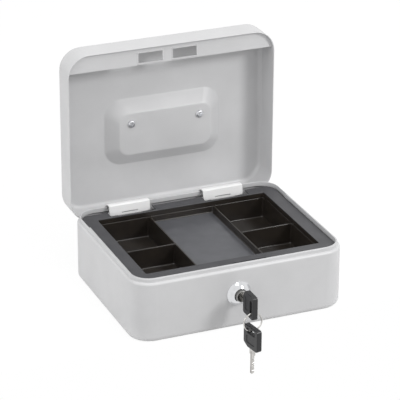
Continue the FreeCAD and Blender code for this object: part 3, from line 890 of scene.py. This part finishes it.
# ---------------------------------------------------------------- hinges
@dataclass
class HingeLeaf:
    """Gooseneck leaf with its lanced slit and its rolled eye."""

    finishes: Finishes
    side: str
    sheet: float = 1.0
    inset: float = 4.8
    lid_sheet: float = 0.8
    arch: float = 9.8            # middle of the sheet to the pin
    arch_end: float = 105.0      # degrees round the pin
    tab: float = 10.0
    foot: tuple[float, float] = (-0.8, -4.1)     # end of the flat face, from the pin
    neck_corner: tuple[float, float] = (0.0, -3.9)
    neck_bend: float = 0.9
    edge_round: float = 0.22
    slit_rise: float = 2.0       # from the foot to the middle of the slit
    eye: float = 2.5
    bore: float = 1.58
    eye_width: float = 24.0
    slit_length: float = 15.4
    slit_width: float = 1.1

    def path(self) -> Outline:
        """Middle line of the sheet, from its pin, with the lid closed: (y, z)."""
        wall = self.inset - self.lid_sheet - self.sheet / 2
        start = math.asin(wall / self.arch)
        line = [(-self.arch * math.sin(a - start), self.arch * math.cos(a - start))
                for a in sweep(self.arch_end + math.degrees(start), 20)]
        return [(line[0][0], line[0][1] + self.tab)] + line + [self.foot]

    def bent(self, points: Outline, radius: float) -> Outline:
        """Round the corners of a line.

        Args:
            points: the line.
            radius: bend radius.

        Returns:
            The rounded line.
        """
        out = [points[0]]
        for before, corner, after in zip(points, points[1:], points[2:]):
            a, b, c = Vector(before), Vector(corner), Vector(after)
            back, ahead = (a - b).normalized(), (c - b).normalized()
            reach = min(radius, (a - b).length * BEND_SHARE, (c - b).length * BEND_SHARE)
            start, stop = b + back * reach, b + ahead * reach
            for step in range(6):
                t = step / 5
                point = start.lerp(b, t).lerp(b.lerp(stop, t), t)
                out.append((point.x, point.y))
        out.append(points[-1])
        return out

    def ribbon(self, name: str, points: Outline, x0: float, x1: float) -> bpy.types.Object:
        """Bent sheet of even thickness.

        Args:
            name: the object's name.
            points: its middle line, from the pin.
            x0: its left edge.
            x1: its right edge.

        Returns:
            The sheet, in place with the lid closed.
        """
        hinge = joint_place("lid_hinge")
        left, right = [], []
        for i, point in enumerate(points):
            before = Vector(points[max(i - 1, 0)])
            after = Vector(points[min(i + 1, len(points) - 1)])
            along = (after - before).normalized()
            normal = Vector((-along.y, along.x)) * self.sheet / 2
            spot = Vector((hinge.y, hinge.z)) + Vector(point)
            left.append(tuple(spot + normal))
            right.append(tuple(spot - normal))
        count = len(points)
        section = left + list(reversed(right))
        corners = [Vector((x, y, z)) for x in (x0, x1) for y, z in section]
        total = 2 * count
        faces = [(i, (i + 1) % total, total + (i + 1) % total, total + i) for i in range(total)]
        for i in range(count - 1):
            quad = (i, i + 1, total - 2 - i, total - 1 - i)
            faces.append(quad)
            faces.append(tuple(total + corner for corner in reversed(quad)))
        return new_object(name, corners, faces)

    def build(self) -> None:
        """Make the leaf."""
        low, high = node_box("hinge_leaf_" + self.side)
        hinge = joint_place("lid_hinge")
        middle = (low.x + high.x) / 2
        leaf = self.ribbon("leaf", self.path(), low.x, high.x)
        face_outward(leaf)
        stop = math.radians(self.arch_end)
        knee = Vector((-self.arch * math.sin(stop), self.arch * math.cos(stop)))
        foot = Vector(self.foot)
        spot = foot + (knee - foot).normalized() * self.slit_rise
        half, deep = self.slit_length / 2, 2 * self.sheet
        slit = block("slit", (middle - half, hinge.y + spot.x - self.slit_width / 2, hinge.z + spot.y - deep),
                     (middle + half, hinge.y + spot.x + self.slit_width / 2, hinge.z + spot.y + deep))
        carve(leaf, [slit])
        soften(leaf, self.edge_round, 50.0, 2)
        neck_end = (0.0, -self.eye + self.sheet / 2)
        neck_line = self.bent([self.foot, self.neck_corner, neck_end], self.neck_bend)
        x0, x1 = middle - self.eye_width / 2, middle + self.eye_width / 2
        neck = self.ribbon("neck", neck_line, x0, x1)
        eye = skin("eye", [hoop(x, hinge, radius, 32) for x, radius in
                           ((x0, self.bore), (x0, self.eye), (x1, self.eye), (x1, self.bore))], looped=True)
        piece = moved(join("hinge_leaf_%s_steel" % self.side, [leaf, neck, eye]), opened)
        dress(piece, Body.LID, self.finishes.hinge, ["hinge_leaf_" + self.side])


# ---------------------------------------------------------------- handle
@dataclass
class Handle:
    """Folding bail, its bearing blocks and the screws that hold them."""

    finishes: Finishes
    rod: float = 2.4
    end: float = 2.0
    bend: float = 5.3
    stub: float = 1.68
    stub_start: float = 1 / 6    # from the bearing block's middle, in its widths
    end_round: float = 0.5
    head: float = 3.6
    head_height: float = 1.7
    head_round: float = 0.7      # of its height
    shank: float = 1.5
    recess: float = 0.9
    cross: tuple[float, float] = (2.0, 0.42)     # half its length and half its width

    def build(self) -> None:
        """Make the handle's pieces."""
        self.bail()
        self.screws()
        for side in ("left", "right"):
            finish_node("handle_bracket_" + side, self.finishes.chrome)

    def bail(self) -> None:
        """The bent rod, hanging in the dish."""
        low, high = node_box("carry_handle")
        pivot = joint_place("handle_fold")
        arm = high.x - self.rod
        grip = low.z + self.rod
        bend = self.bend
        steps = 8
        line = [Vector((-arm, pivot.y, pivot.z + self.end))]
        for side, start in ((-1, 0.0), (1, 90.0)):
            centre = Vector((side * (arm - bend), pivot.y, grip + bend))
            for step in range(steps + 1):
                angle = math.radians(180 + start + 90 * step / steps)
                line.append(centre + Vector((bend * math.cos(angle), 0, bend * math.sin(angle))))
        line.append(Vector((arm, pivot.y, pivot.z + self.end)))
        rings = []
        for i, point in enumerate(line):
            along = (line[min(i + 1, len(line) - 1)] - line[max(i - 1, 0)]).normalized()
            side = Vector((0, 1, 0))
            other = along.cross(side)
            rings.append([point + (side * math.cos(a) + other * math.sin(a)) * self.rod
                          for a in sweep(360, 24)[:-1]])
        bail = skin("bail", rings)
        soften(bail, self.end_round, 60.0, 3)
        stubs = []
        for bracket, outward in (("left", -1), ("right", 1)):
            block_low, block_high = node_box("handle_bracket_" + bracket)
            reach = (block_high.x - block_low.x) * self.stub_start + FIT
            inner = (block_low.x + block_high.x) / 2 + outward * reach
            stubs.append(skin("stub", [hoop(x, pivot, self.stub, 20) for x in (inner, outward * arm)]))
        piece = join("carry_handle_rod", [bail, *stubs])
        dress(piece, Body.HANDLE, self.finishes.chrome, ["carry_handle"], 45.0)

    def screws(self) -> None:
        """Pan heads with a cross recess, inside the lid."""
        low, high = node_box("handle_screws")
        floor = low.y + self.head_height
        heads = []
        for x in (low.x + self.head, high.x - self.head):
            centre = Vector((x, 0, (low.z + high.z) / 2))
            round_edge = self.head_height * self.head_round
            profile = [(TIP, low.y), (self.head - round_edge, low.y)]
            profile += [(self.head - round_edge + round_edge * math.sin(a),
                         low.y + round_edge - round_edge * math.cos(a))
                        for a in sweep(90, 5)[1:]]
            profile += [(self.head, floor), (self.shank, floor), (self.shank, high.y), (TIP, high.y)]
            screw = turned("screw", profile, centre, 40)
            face_outward(screw)
            arms = [block("arm", (x - half_x, low.y - 1, centre.z - half_z),
                          (x + half_x, low.y + self.recess, centre.z + half_z))
                    for half_x, half_z in (self.cross, reversed(self.cross))]
            carve(screw, arms)
            heads.append(screw)
        dress(join("handle_screw_heads", heads), Body.LID, self.finishes.steel,
              ["handle_screws"])


# ---------------------------------------------------------------- tray
@dataclass
class CoinTray:
    """Moulded tray: a grained flange, a stepped opening, a shallow middle and four deep pockets."""

    finishes: Finishes
    flange: float = 1.4
    wall: float = 1.5
    opening_x: float = 164.0
    opening_y: float = 118.6
    opening_corner: float = 1.2
    corner: float = 15.3
    hinge_edge: float = 61.0
    hinge_clearance: float = 2.0
    step: float = 5.2
    depth: float = 24.0
    centre_depth: float = 11.2
    divider: float = 31.5
    cross_divider: float = -2.5
    draft: float = 3.0
    pocket_corner: float = 1.6
    pocket_floor: float = 1.2
    rim: float = 0.45            # rounding of the top edges
    mouth_lead: float = 1.0      # the space above a rounded mouth, kept as wide as the mouth
    level: tuple[float, float] = (0.1, 0.9)  # a floor face: height within the first, normal past the second

    def pocket(self, name: str, plan: Rounded, top: float, depth: float, flare: float = 0.0,
               foot: float = 0.0) -> bpy.types.Object:
        """Space of a drafted pocket.

        Args:
            name: the object's name.
            plan: its mouth.
            top: height of its mouth.
            depth: its depth.
            flare: rounding of its mouth.
            foot: rounding of its floor.

        Returns:
            The space as a solid.
        """
        lean = math.tan(math.radians(self.draft))
        rings = []
        if flare:
            rings.append(plan.inset(-flare).ring(top + self.mouth_lead, 6))
            rings += [plan.inset(-flare * (1 - math.sin(a))).ring(top - flare * (1 - math.cos(a)), 6)
                      for a in sweep(90, 3)]
        else:
            rings.append(plan.ring(top, 6))
        if foot:
            rings += [plan.inset(lean * (depth - foot) + foot * (1 - math.cos(a)), self.pocket_corner)
                      .ring(top - depth + foot * (1 - math.sin(a)), 6)
                      for a in sweep(90, 4)]
        else:
            rings.append(plan.inset(lean * depth).ring(top - depth, 6))
        space = skin(name, rings)
        face_outward(space)
        return space

    def columns(self, top: float) -> list[tuple[Rounded, float]]:
        """Mouths and depths of the five pockets.

        Args:
            top: the flange's height.

        Returns:
            Each pocket's mouth at the step, and its depth below the step.
        """
        lean = self.step * math.tan(math.radians(self.draft))
        far_x, far_y = self.opening_x / 2 - lean, self.opening_y / 2 - lean
        half = self.wall / 2
        deep, shallow = self.depth - self.step, self.centre_depth - self.step
        pockets = []
        for side in (-1, 1):
            x0, x1 = sorted((side * far_x, side * (self.divider + half)))
            for y0, y1 in ((-far_y, self.cross_divider - half), (self.cross_divider + half, far_y)):
                pockets.append((Rounded(x0, x1, y0, y1, self.pocket_corner), deep))
        inner = self.divider - half
        pockets.append((Rounded(-inner, inner, -far_y, far_y, self.pocket_corner), shallow))
        return pockets

    def build(self) -> None:
        """Make the tray in two pieces: the flange, and the pockets under it."""
        low, high = node_box("coin_tray")
        top = high.z
        outline = Rounded(low.x, high.x, low.y, -low.y, self.corner)
        opening = Rounded(-self.opening_x / 2, self.opening_x / 2, -self.opening_y / 2, self.opening_y / 2,
                          self.opening_corner)
        self.make_flange(outline, opening, high, top)
        self.make_pockets(opening, top)

    def make_flange(self, outline: Rounded, opening: Rounded, high: Vector, top: float) -> None:
        """The grained flange.

        Args:
            outline: the flange's outline before it is cut back.
            opening: the tray's opening.
            high: the tray's highest corner.
            top: the flange's height.
        """
        rim = self.rim
        rings = [outline.ring(top - self.flange)]
        rings += [outline.inset(rim * (1 - math.cos(a))).ring(top - rim * (1 - math.sin(a)))
                  for a in sweep(90, 3)]
        flange = skin("tray_flange_moulding", rings)
        face_outward(flange)
        wide = outline.x1 + PAST
        above, below = top + PAST, top - PAST
        tools = [block("rear", (-wide, high.y, below), (wide, outline.y1 + PAST, above))]
        for side in ("left", "right"):
            leaf_low, leaf_high = node_box("hinge_leaf_" + side)
            tools.append(block("recess", (leaf_low.x - self.hinge_clearance, self.hinge_edge, below),
                               (leaf_high.x + self.hinge_clearance, high.y + PAST, above)))
        window_low, window_high = CamWindow().span()
        tools.append(block("window", (window_low.x, outline.y0 - PAST, below),
                           (window_high.x, window_high.y, above)))
        tools.append(self.pocket("opening", opening, top, self.flange + 2, rim))
        carve(flange, tools)
        dress(flange, Body.TRAY, self.finishes.flange, ["coin_tray"], 30.0)

    def make_pockets(self, opening: Rounded, top: float) -> None:
        """The polished pockets, darker and browner than the flange: painted shade of their walls and a
        painted brown reflection.

        Args:
            opening: the tray's opening.
            top: the flange's height.
        """
        wall = self.wall
        start = top - self.flange / 2
        step = top - self.step
        spaces = self.columns(top)
        body = self.pocket("tray_pocket_moulding", opening.inset(-wall), start,
                           self.centre_depth + wall - self.flange / 2)
        columns = [self.pocket("column", plan.inset(-wall), step, depth + wall)
                   for plan, depth in spaces[:-1]]
        carve(body, columns, Cut.ADD)
        tools = [self.pocket("opening", opening, top, self.step)]
        tools += [self.pocket("space", plan, step, depth, self.rim, self.pocket_floor)
                  for plan, depth in spaces]
        carve(body, tools)
        dress(body, Body.TRAY, self.finishes.pocket, [], 30.0)
        self.painted_reflection_floor(body, top - self.centre_depth)

    def painted_reflection_floor(self, body: bpy.types.Object, floor: float) -> None:
        """Give the shallow middle's floor a lighter colour, a painted reflection of the lid on the tray's
        plastic.

        Args:
            body: the pockets.
            floor: height of the middle's floor.
        """
        near, upright = self.level
        body.data.materials.append(self.finishes.centre)
        # faces of the middle's floor take the lighter colour, a painted reflection
        for face in body.data.polygons:
            middle = face.center / MM
            level = abs(middle.z - floor) < near and face.normal.z > upright
            if level and abs(middle.x) < self.divider:
                face.material_index = 1


# ---------------------------------------------------------------- lock
@dataclass
class CamLock:
    """Chrome collar, turning plug and hooked cam."""

    finishes: Finishes
    seat: float = 5.58
    seat_depth: float = 1.6
    plug: float = 4.5
    plug_bore: float = 4.58
    flange: float = 5.5
    bevel: float = 0.7           # of the plug's flange and the collar's rim
    tail_bevel: float = 0.3
    face: float = 6.9            # the collar's flat front
    face_round: float = 0.35     # its outer edge
    seat_round: float = 0.25     # its inner edge
    bulge: float = 0.25          # of the cone between the front and the rim
    rim: float = 1.2             # height of the collar's rim
    collar_edge: float = 0.5
    barrel: float = 7.0
    flats: float = 3.4           # from the axis to the flats that drive the cam
    groove: tuple[float, float] = (3.9, 0.8)     # radius of its floor, and its width
    key_thickness: float = 2.06
    key_width: float = 3.76
    key_length: float = 19.08

    def build(self) -> None:
        """Make the lock's pieces."""
        self.collar()
        self.nose()
        finish_node("lock_nut", self.finishes.steel)
        finish_node("lock_cam", self.finishes.steel)
        finish_node("cam_clip", self.finishes.steel)
        finish_node("lock_wafers", self.finishes.brass)

    def collar(self) -> None:
        """Turned and plated housing."""
        low, high = node_box("lock_housing")
        lock = joint_place("lock_turn")
        wall = node_box("lock_nut")[0].y - BACKING
        radius = (high.x - low.x) / 2
        front, nose = low.y, self.face
        start = front + self.face_round
        profile = [(self.seat, front + self.seat_round), (self.seat + self.seat_round, front),
                   (nose - self.collar_edge, front), (nose, start)]
        flank, fall = radius - self.bevel - nose, wall - self.rim - start
        steps = 8
        profile += [(nose + flank * t + self.bulge * math.sin(math.pi * t), start + fall * t)
                    for t in (k / steps for k in range(1, steps + 1))]
        floor = front + self.seat_depth
        profile += [(radius, wall - self.collar_edge), (radius, wall), (self.barrel, wall),
                    (self.barrel, high.y), (self.plug_bore, high.y), (self.plug_bore, floor),
                    (self.seat, floor)]
        piece = turned("lock_collar_chrome", profile, lock, 96, True)
        dress(piece, Body.BASE, self.finishes.chrome, ["lock_housing"], 28.0)

    def nose(self) -> None:
        """Plug with its keyway and driving flats."""
        low, high = node_box("lock_plug")
        cam_low, cam_high = node_box("lock_cam")
        lock = joint_place("lock_turn")
        collar_front = node_box("lock_housing")[0].y
        front = low.y
        shoulder = collar_front + self.seat_depth - FIT
        bevel, tail = self.bevel, self.tail_bevel
        profile = [(TIP, front), (self.flange - bevel, front), (self.flange, front + bevel),
                   (self.flange, shoulder), (self.plug, shoulder), (self.plug, high.y - tail),
                   (self.plug - tail, high.y), (TIP, high.y)]
        piece = turned("lock_plug_turned", profile, lock, 64)
        face_outward(piece)
        half_x, half_z = self.key_thickness / 2, self.key_width / 2
        tools = [block("keyway", (lock.x - half_x, front - 1, lock.z - half_z),
                       (lock.x + half_x, front + self.key_length, lock.z + half_z))]
        for side in (-1, 1):
            x0, x1 = sorted((lock.x + side * self.flats, lock.x + side * 2 * self.plug))
            tools.append(block("flat", (x0, cam_low.y - FIT, lock.z - 2 * self.plug),
                               (x1, high.y + 1, lock.z + 2 * self.plug)))
        carve(piece, tools)
        floor, width = self.groove
        start = cam_high.y + FIT
        reach, end = self.plug + 1, start + width
        groove = [(floor, start), (reach, start), (reach, end), (floor, end)]
        carve(piece, [turned("groove", groove, lock, 48, True)])
        dress(piece, Body.PLUG, self.finishes.plug, ["lock_plug"])


# ---------------------------------------------------------------- keys
@dataclass
class Key:
    """Flat key with a moulded bow. It is laid out with its bow's neck at the origin, blade to +Y."""

    finishes: Finishes
    prefix: str
    body: Body
    place: Callable[[Vector], Vector]
    thickness: float = 1.9
    blade_width: float = 3.6
    root_width: float = 6.4
    root: float = 6.0
    blade: float = 19.0
    tang: float = 7.0
    bow_width: float = 21.5
    bow_length: float = 20.5
    bow_thickness: float = 5.0
    neck: float = 4.4            # the slope starts this far from the middle
    taper: float = 3.4
    bow_corner: float = 2.4
    slot_length: float = 14.0
    slot_width: float = 4.4
    bar: float = 2.3             # between the slot and the bow's end
    steel_round: float = 0.16
    bow_round: float = 0.8
    panel: tuple[float, float, float] = (12.5, 7.5, 0.5)     # length, width, depth
    panel_margin: float = 0.8
    panel_corner: float = 1.2
    panel_draft: float = 0.35
    slot_flare: float = 0.5
    tang_half: float = 2.4
    tip: tuple[float, float] = (2.0, 0.9)        # length of the lower bevel, height of the upper one
    tip_rise: float = 1.8        # from the lower edge to the point
    groove: tuple[float, float] = (0.45, 1.2)    # depth and width
    wafers: int = 4
    pitch: float = 2.6
    first_cut: float = 3.6       # from the tip
    cuts: tuple[float, ...] = (0.5, 0.85, 1.2)
    cut_slope: float = 0.5
    cut_floor: float = 0.6

    def build(self) -> None:
        """Make the blade and the bow."""
        self.steel()
        self.moulding()

    def steel(self) -> None:
        """Stamped blade with its cuts and groove."""
        half_root, half = self.root_width / 2, self.blade_width / 2
        tip = self.root + self.blade
        tang = self.tang_half
        bevel, drop = self.tip
        outline = [(-self.tang, tang), (0.0, tang), (0.0, half_root), (self.root, half_root),
                   (self.root, half), (tip - bevel / 2, half), (tip, half - drop),
                   (tip, self.tip_rise - half), (tip - bevel, -half)]
        for index in range(self.wafers + 1):
            y = tip - self.first_cut - index * self.pitch
            floor = self.cuts[index % len(self.cuts)] - half
            slope, flat = self.cut_slope, self.cut_slope + self.cut_floor
            outline += [(y, -half), (y - slope, floor), (y - flat, floor), (y - flat - slope, -half)]
        outline += [(self.root, -half), (self.root, -half_root), (0.0, -half_root), (0.0, -tang),
                    (-self.tang, -tang)]
        half = self.thickness / 2
        piece = plate(self.prefix + "key_steel", outline, -half, half)
        face_outward(piece)
        depth, width = self.groove
        carve(piece, [block("groove", (-half - 1, self.root / 2, 0.0), (depth - half, tip + 1, width))])
        soften(piece, self.steel_round, 50.0, 2)
        dress(moved(piece, self.place), self.body, self.finishes.nickel,
              [self.prefix + "key_blade"])

    def bow_outline(self) -> Outline:
        """Outline of the bow, with its corners rounded: (y, z)."""
        half, corner = self.bow_width / 2, self.bow_corner
        corners = [((0.0, -half), corner), ((0.0, self.neck), 0.6), ((-self.taper, half), corner),
                   ((-self.bow_length, half), corner), ((-self.bow_length, -half), corner)]
        out = []
        for i, (corner, radius) in enumerate(corners):
            before, after = Vector(corners[i - 1][0]), Vector(corners[(i + 1) % len(corners)][0])
            here = Vector(corner)
            back, ahead = (before - here).normalized(), (after - here).normalized()
            half_angle = back.angle(ahead) / 2
            reach = radius / math.tan(half_angle)
            start, stop = here + back * reach, here + ahead * reach
            centre = here + (back + ahead).normalized() * radius / math.sin(half_angle)
            for step in range(7):
                spoke = (start.lerp(stop, step / 6) - centre).normalized() * radius
                out.append(tuple(centre + spoke))
        return out

    def moulding(self) -> None:
        """Moulded bow with a sunk panel on each face and a slot for the ring."""
        half = self.bow_thickness / 2
        bow = plate(self.prefix + "key_bow", self.bow_outline(), -half, half)
        face_outward(bow)
        soften(bow, self.bow_round, 60.0, 4)
        length, width, depth = self.panel
        panel_y = -self.taper - width / 2 - self.panel_margin
        tools = []
        for side in (-1, 1):
            face = side * half
            mouth = Rounded(-length / 2, length / 2, panel_y - width / 2, panel_y + width / 2,
                            self.panel_corner)
            rings = [[Vector((face + side * level, point.y, point.x)) for point in mouth.inset(by).ring(0, 5)]
                     for level, by in ((1.0, 0.0), (0.0, 0.0), (-depth, self.panel_draft))]
            tools.append(skin("panel", rings))
        slot_y = -(self.bow_length - self.bar - self.slot_width / 2)
        slot = Rounded(-self.slot_length / 2, self.slot_length / 2, slot_y - self.slot_width / 2,
                       slot_y + self.slot_width / 2, self.slot_width / 2)
        flare = self.slot_flare
        levels = [(-half - 1, -flare), (-half, -flare), (-half + flare, 0.0), (half - flare, 0.0),
                  (half, -flare), (half + 1, -flare)]
        tools.append(skin("slot", [[Vector((x, point.y, point.x)) for point in slot.inset(by).ring(0, 8)]
                                   for x, by in levels]))
        tools.append(block("tang", (-self.thickness / 2, -self.tang, -self.tang_half),
                           (self.thickness / 2, 1.0, self.tang_half)))
        carve(bow, tools)
        dress(moved(bow, self.place), self.body, self.finishes.key,
              [self.prefix + "key_head"], 40.0)


@dataclass
class SplitRing:
    """Two coils of flattened spring wire."""

    finishes: Finishes
    radius: float = 8.35
    wire: float = 0.65
    flatness: tuple[float, float] = (0.97, 0.48)     # of the wire, outward and along the axis
    turns: float = 1.96
    start: float = 250.0         # where the wire starts, in degrees
    cross: float = 14.0          # how sharply one coil steps over to the other

    def build(self) -> None:
        """Make the ring."""
        top = joint_place("ring_swing")
        centre = top - Vector((0, 0, self.radius))
        wide, deep = (self.wire * share for share in self.flatness)
        steps = 150
        rings = []
        for step in range(steps + 1):
            share = step / steps
            angle = math.radians(self.start) + 2 * math.pi * self.turns * share
            ease = self.wire / 2 * math.tanh((share - 0.5) * self.cross)
            out = Vector((math.cos(angle), 0, math.sin(angle)))
            middle = centre + out * self.radius + Vector((0, ease, 0))
            rings.append([middle + out * (wide * math.cos(a)) + Vector((0, deep * math.sin(a), 0))
                          for a in sweep(360, 12)[:-1]])
        piece = skin("key_ring_wire", rings)
        dress(piece, Body.RING, self.finishes.nickel, ["key_ring"], 50.0)


def inserted(point: Vector) -> Vector:
    """Place of a key's point when the key is in the lock."""
    lock = joint_place("lock_turn")
    return point + Vector((lock.x, node_box("key_head")[1].y, lock.z))


SPARE_TURN = 9.0                 # degrees that the spare key is turned about its own length


def hanging(point: Vector) -> Vector:
    """Place of a key's point when the key hangs from the ring."""
    turn = Matrix.Rotation(math.radians(SPARE_TURN), 4, "Z") @ Matrix.Rotation(math.radians(-90), 4, "X")
    ring = joint_place("spare_swing")
    rise = node_box("spare_key_head")[1].z - Key.bow_length
    return turn @ point + Vector((ring.x, ring.y, rise))


# ---------------------------------------------------------------- studio
@dataclass
class Studio:
    """Table, backdrop, lamps and camera."""

    target: Vector
    azimuth: float = -22.95
    elevation: float = 24.1
    roll: float = 0.3
    distance: float = 1932.8
    focal_mm: float = 196.9
    shift: tuple[float, float] = (0.0003, -0.0081)
    ambient: float = 0.63        # of the white surroundings' light on matt surfaces
    table_size: tuple[float, float] = (1500.0, 2600.0)      # half its width, and its depth
    table_drop: float = 0.05     # below the box's underside
    table_gap: float = 0.5       # the table ends this far in front of the nut
    table_matt: float = 0.85     # grey that the lamps light
    table_glow: float = 1.03     # its own light, which only the camera sees
    table_seen: float = 0.9      # share of that light in the picture

    def build(self) -> None:
        """Make the scene around the box."""
        self.table()
        self.world()
        self.lamps()
        self.camera()
        view = bpy.context.scene.view_settings
        view.view_transform = "Standard"

    def table(self) -> None:
        """Pale table top. It ends at the box's front, where the keys hang over its edge."""
        front = node_box("lock_nut")[0].y - self.table_gap
        wide, deep = self.table_size
        corners = [(-wide, front), (wide, front), (wide, deep), (-wide, deep)]
        top = new_object("table_top", [Vector((x, y, -self.table_drop)) for x, y in corners], [(0, 1, 2, 3)])
        material, tree, _ = blank_material("white_laminate")
        paths = add_node(tree, "ShaderNodeLightPath")
        matt = add_node(tree, "ShaderNodeBsdfDiffuse", None, {"Color": (*[self.table_matt] * 3, 1)})
        glow = add_node(tree, "ShaderNodeEmission", None, {"Color": (1, 1, 1, 1),
                                                           "Strength": self.table_glow})
        seen = add_node(tree, "ShaderNodeMath", {"operation": "MULTIPLY"}, {1: self.table_seen},
                        {0: paths.outputs["Is Camera Ray"]})
        mix = add_node(tree, "ShaderNodeMixShader", None, None,
                       {0: seen.outputs[0], 1: matt.outputs[0], 2: glow.outputs[0]})
        add_node(tree, "ShaderNodeOutputMaterial", None, None, {"Surface": mix.outputs[0]})
        top.data.materials.append(material)

    def world(self) -> None:
        """White surroundings, softer on the object than in view."""
        world = bpy.data.worlds.new("white_studio")
        world.use_nodes = True
        tree = world.node_tree
        tree.nodes.clear()
        paths = add_node(tree, "ShaderNodeLightPath")
        seen = add_node(tree, "ShaderNodeMath", {"operation": "MAXIMUM"}, None,
                        {0: paths.outputs["Is Camera Ray"], 1: paths.outputs["Is Glossy Ray"]})
        seen = add_node(tree, "ShaderNodeMath", {"operation": "MAXIMUM"}, None,
                        {0: seen.outputs[0], 1: paths.outputs["Is Transmission Ray"]})
        strength = add_node(tree, "ShaderNodeMapRange", None, {"To Min": self.ambient, "To Max": 1.0},
                            {"Value": seen.outputs[0]})
        sky = add_node(tree, "ShaderNodeBackground", None, {"Color": (1, 1, 1, 1)},
                       {"Strength": strength.outputs[0]})
        add_node(tree, "ShaderNodeOutputWorld", None, None, {"Surface": sky.outputs[0]})
        bpy.context.scene.world = world

    def lamps(self) -> None:
        """Large soft boxes."""
        for name, place, size, power in (
                ("top_softbox", (-100.0, -250.0, 1500.0), 1100.0, 7.0),
                ("left_softbox", (-1400.0, -150.0, 500.0), 700.0, 4.2),
                ("right_softbox", (750.0, -900.0, 850.0), 320.0, 7.6)):
            data = bpy.data.lights.new(name, "AREA")
            data.shape = "SQUARE"
            data.size = size * MM
            data.energy = power
            lamp = bpy.data.objects.new(name, data)
            lamp.location = Vector(place) * MM
            aim = (self.target - Vector(place)).normalized()
            lamp.rotation_euler = aim.to_track_quat("-Z", "Y").to_euler()
            bpy.context.scene.collection.objects.link(lamp)

    def camera(self) -> None:
        """Long lens, a little above the box, from its left."""
        az, el = math.radians(self.azimuth), math.radians(self.elevation)
        back = Vector((math.sin(az) * math.cos(el), -math.cos(az) * math.cos(el), math.sin(el)))
        data = bpy.data.cameras.new("camera")
        data.lens = self.focal_mm
        data.sensor_width = 36.0
        data.shift_x, data.shift_y = self.shift
        data.clip_end = 20.0
        camera = bpy.data.objects.new("camera", data)
        turn = back.to_track_quat("Z", "Y").to_matrix().to_4x4()
        turn = turn @ Matrix.Rotation(math.radians(self.roll), 4, "Z")
        camera.matrix_world = Matrix.Translation((self.target + back * self.distance) * MM) @ turn
        bpy.context.scene.collection.objects.link(camera)
        bpy.context.scene.camera = camera


def main() -> None:
    """Build the box, piece by piece, and its studio."""
    logging.basicConfig(level=logging.INFO, format="%(name)s: %(message)s")
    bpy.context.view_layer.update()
    finishes = Finishes.make()
    base = CashBoxBase(finishes)
    base.build()
    Lid(finishes, base.plan).build()
    for side in ("left", "right"):
        HingeLeaf(finishes, side).build()
    Handle(finishes).build()
    CoinTray(finishes).build()
    CamLock(finishes).build()
    Key(finishes, "", Body.KEY, inserted).build()
    Key(finishes, "spare_", Body.SPARE, hanging).build()
    SplitRing(finishes).build()
    Studio(Vector((-7.26, 0.0, 91.54))).build()


if __name__ == "__main__":
    main()
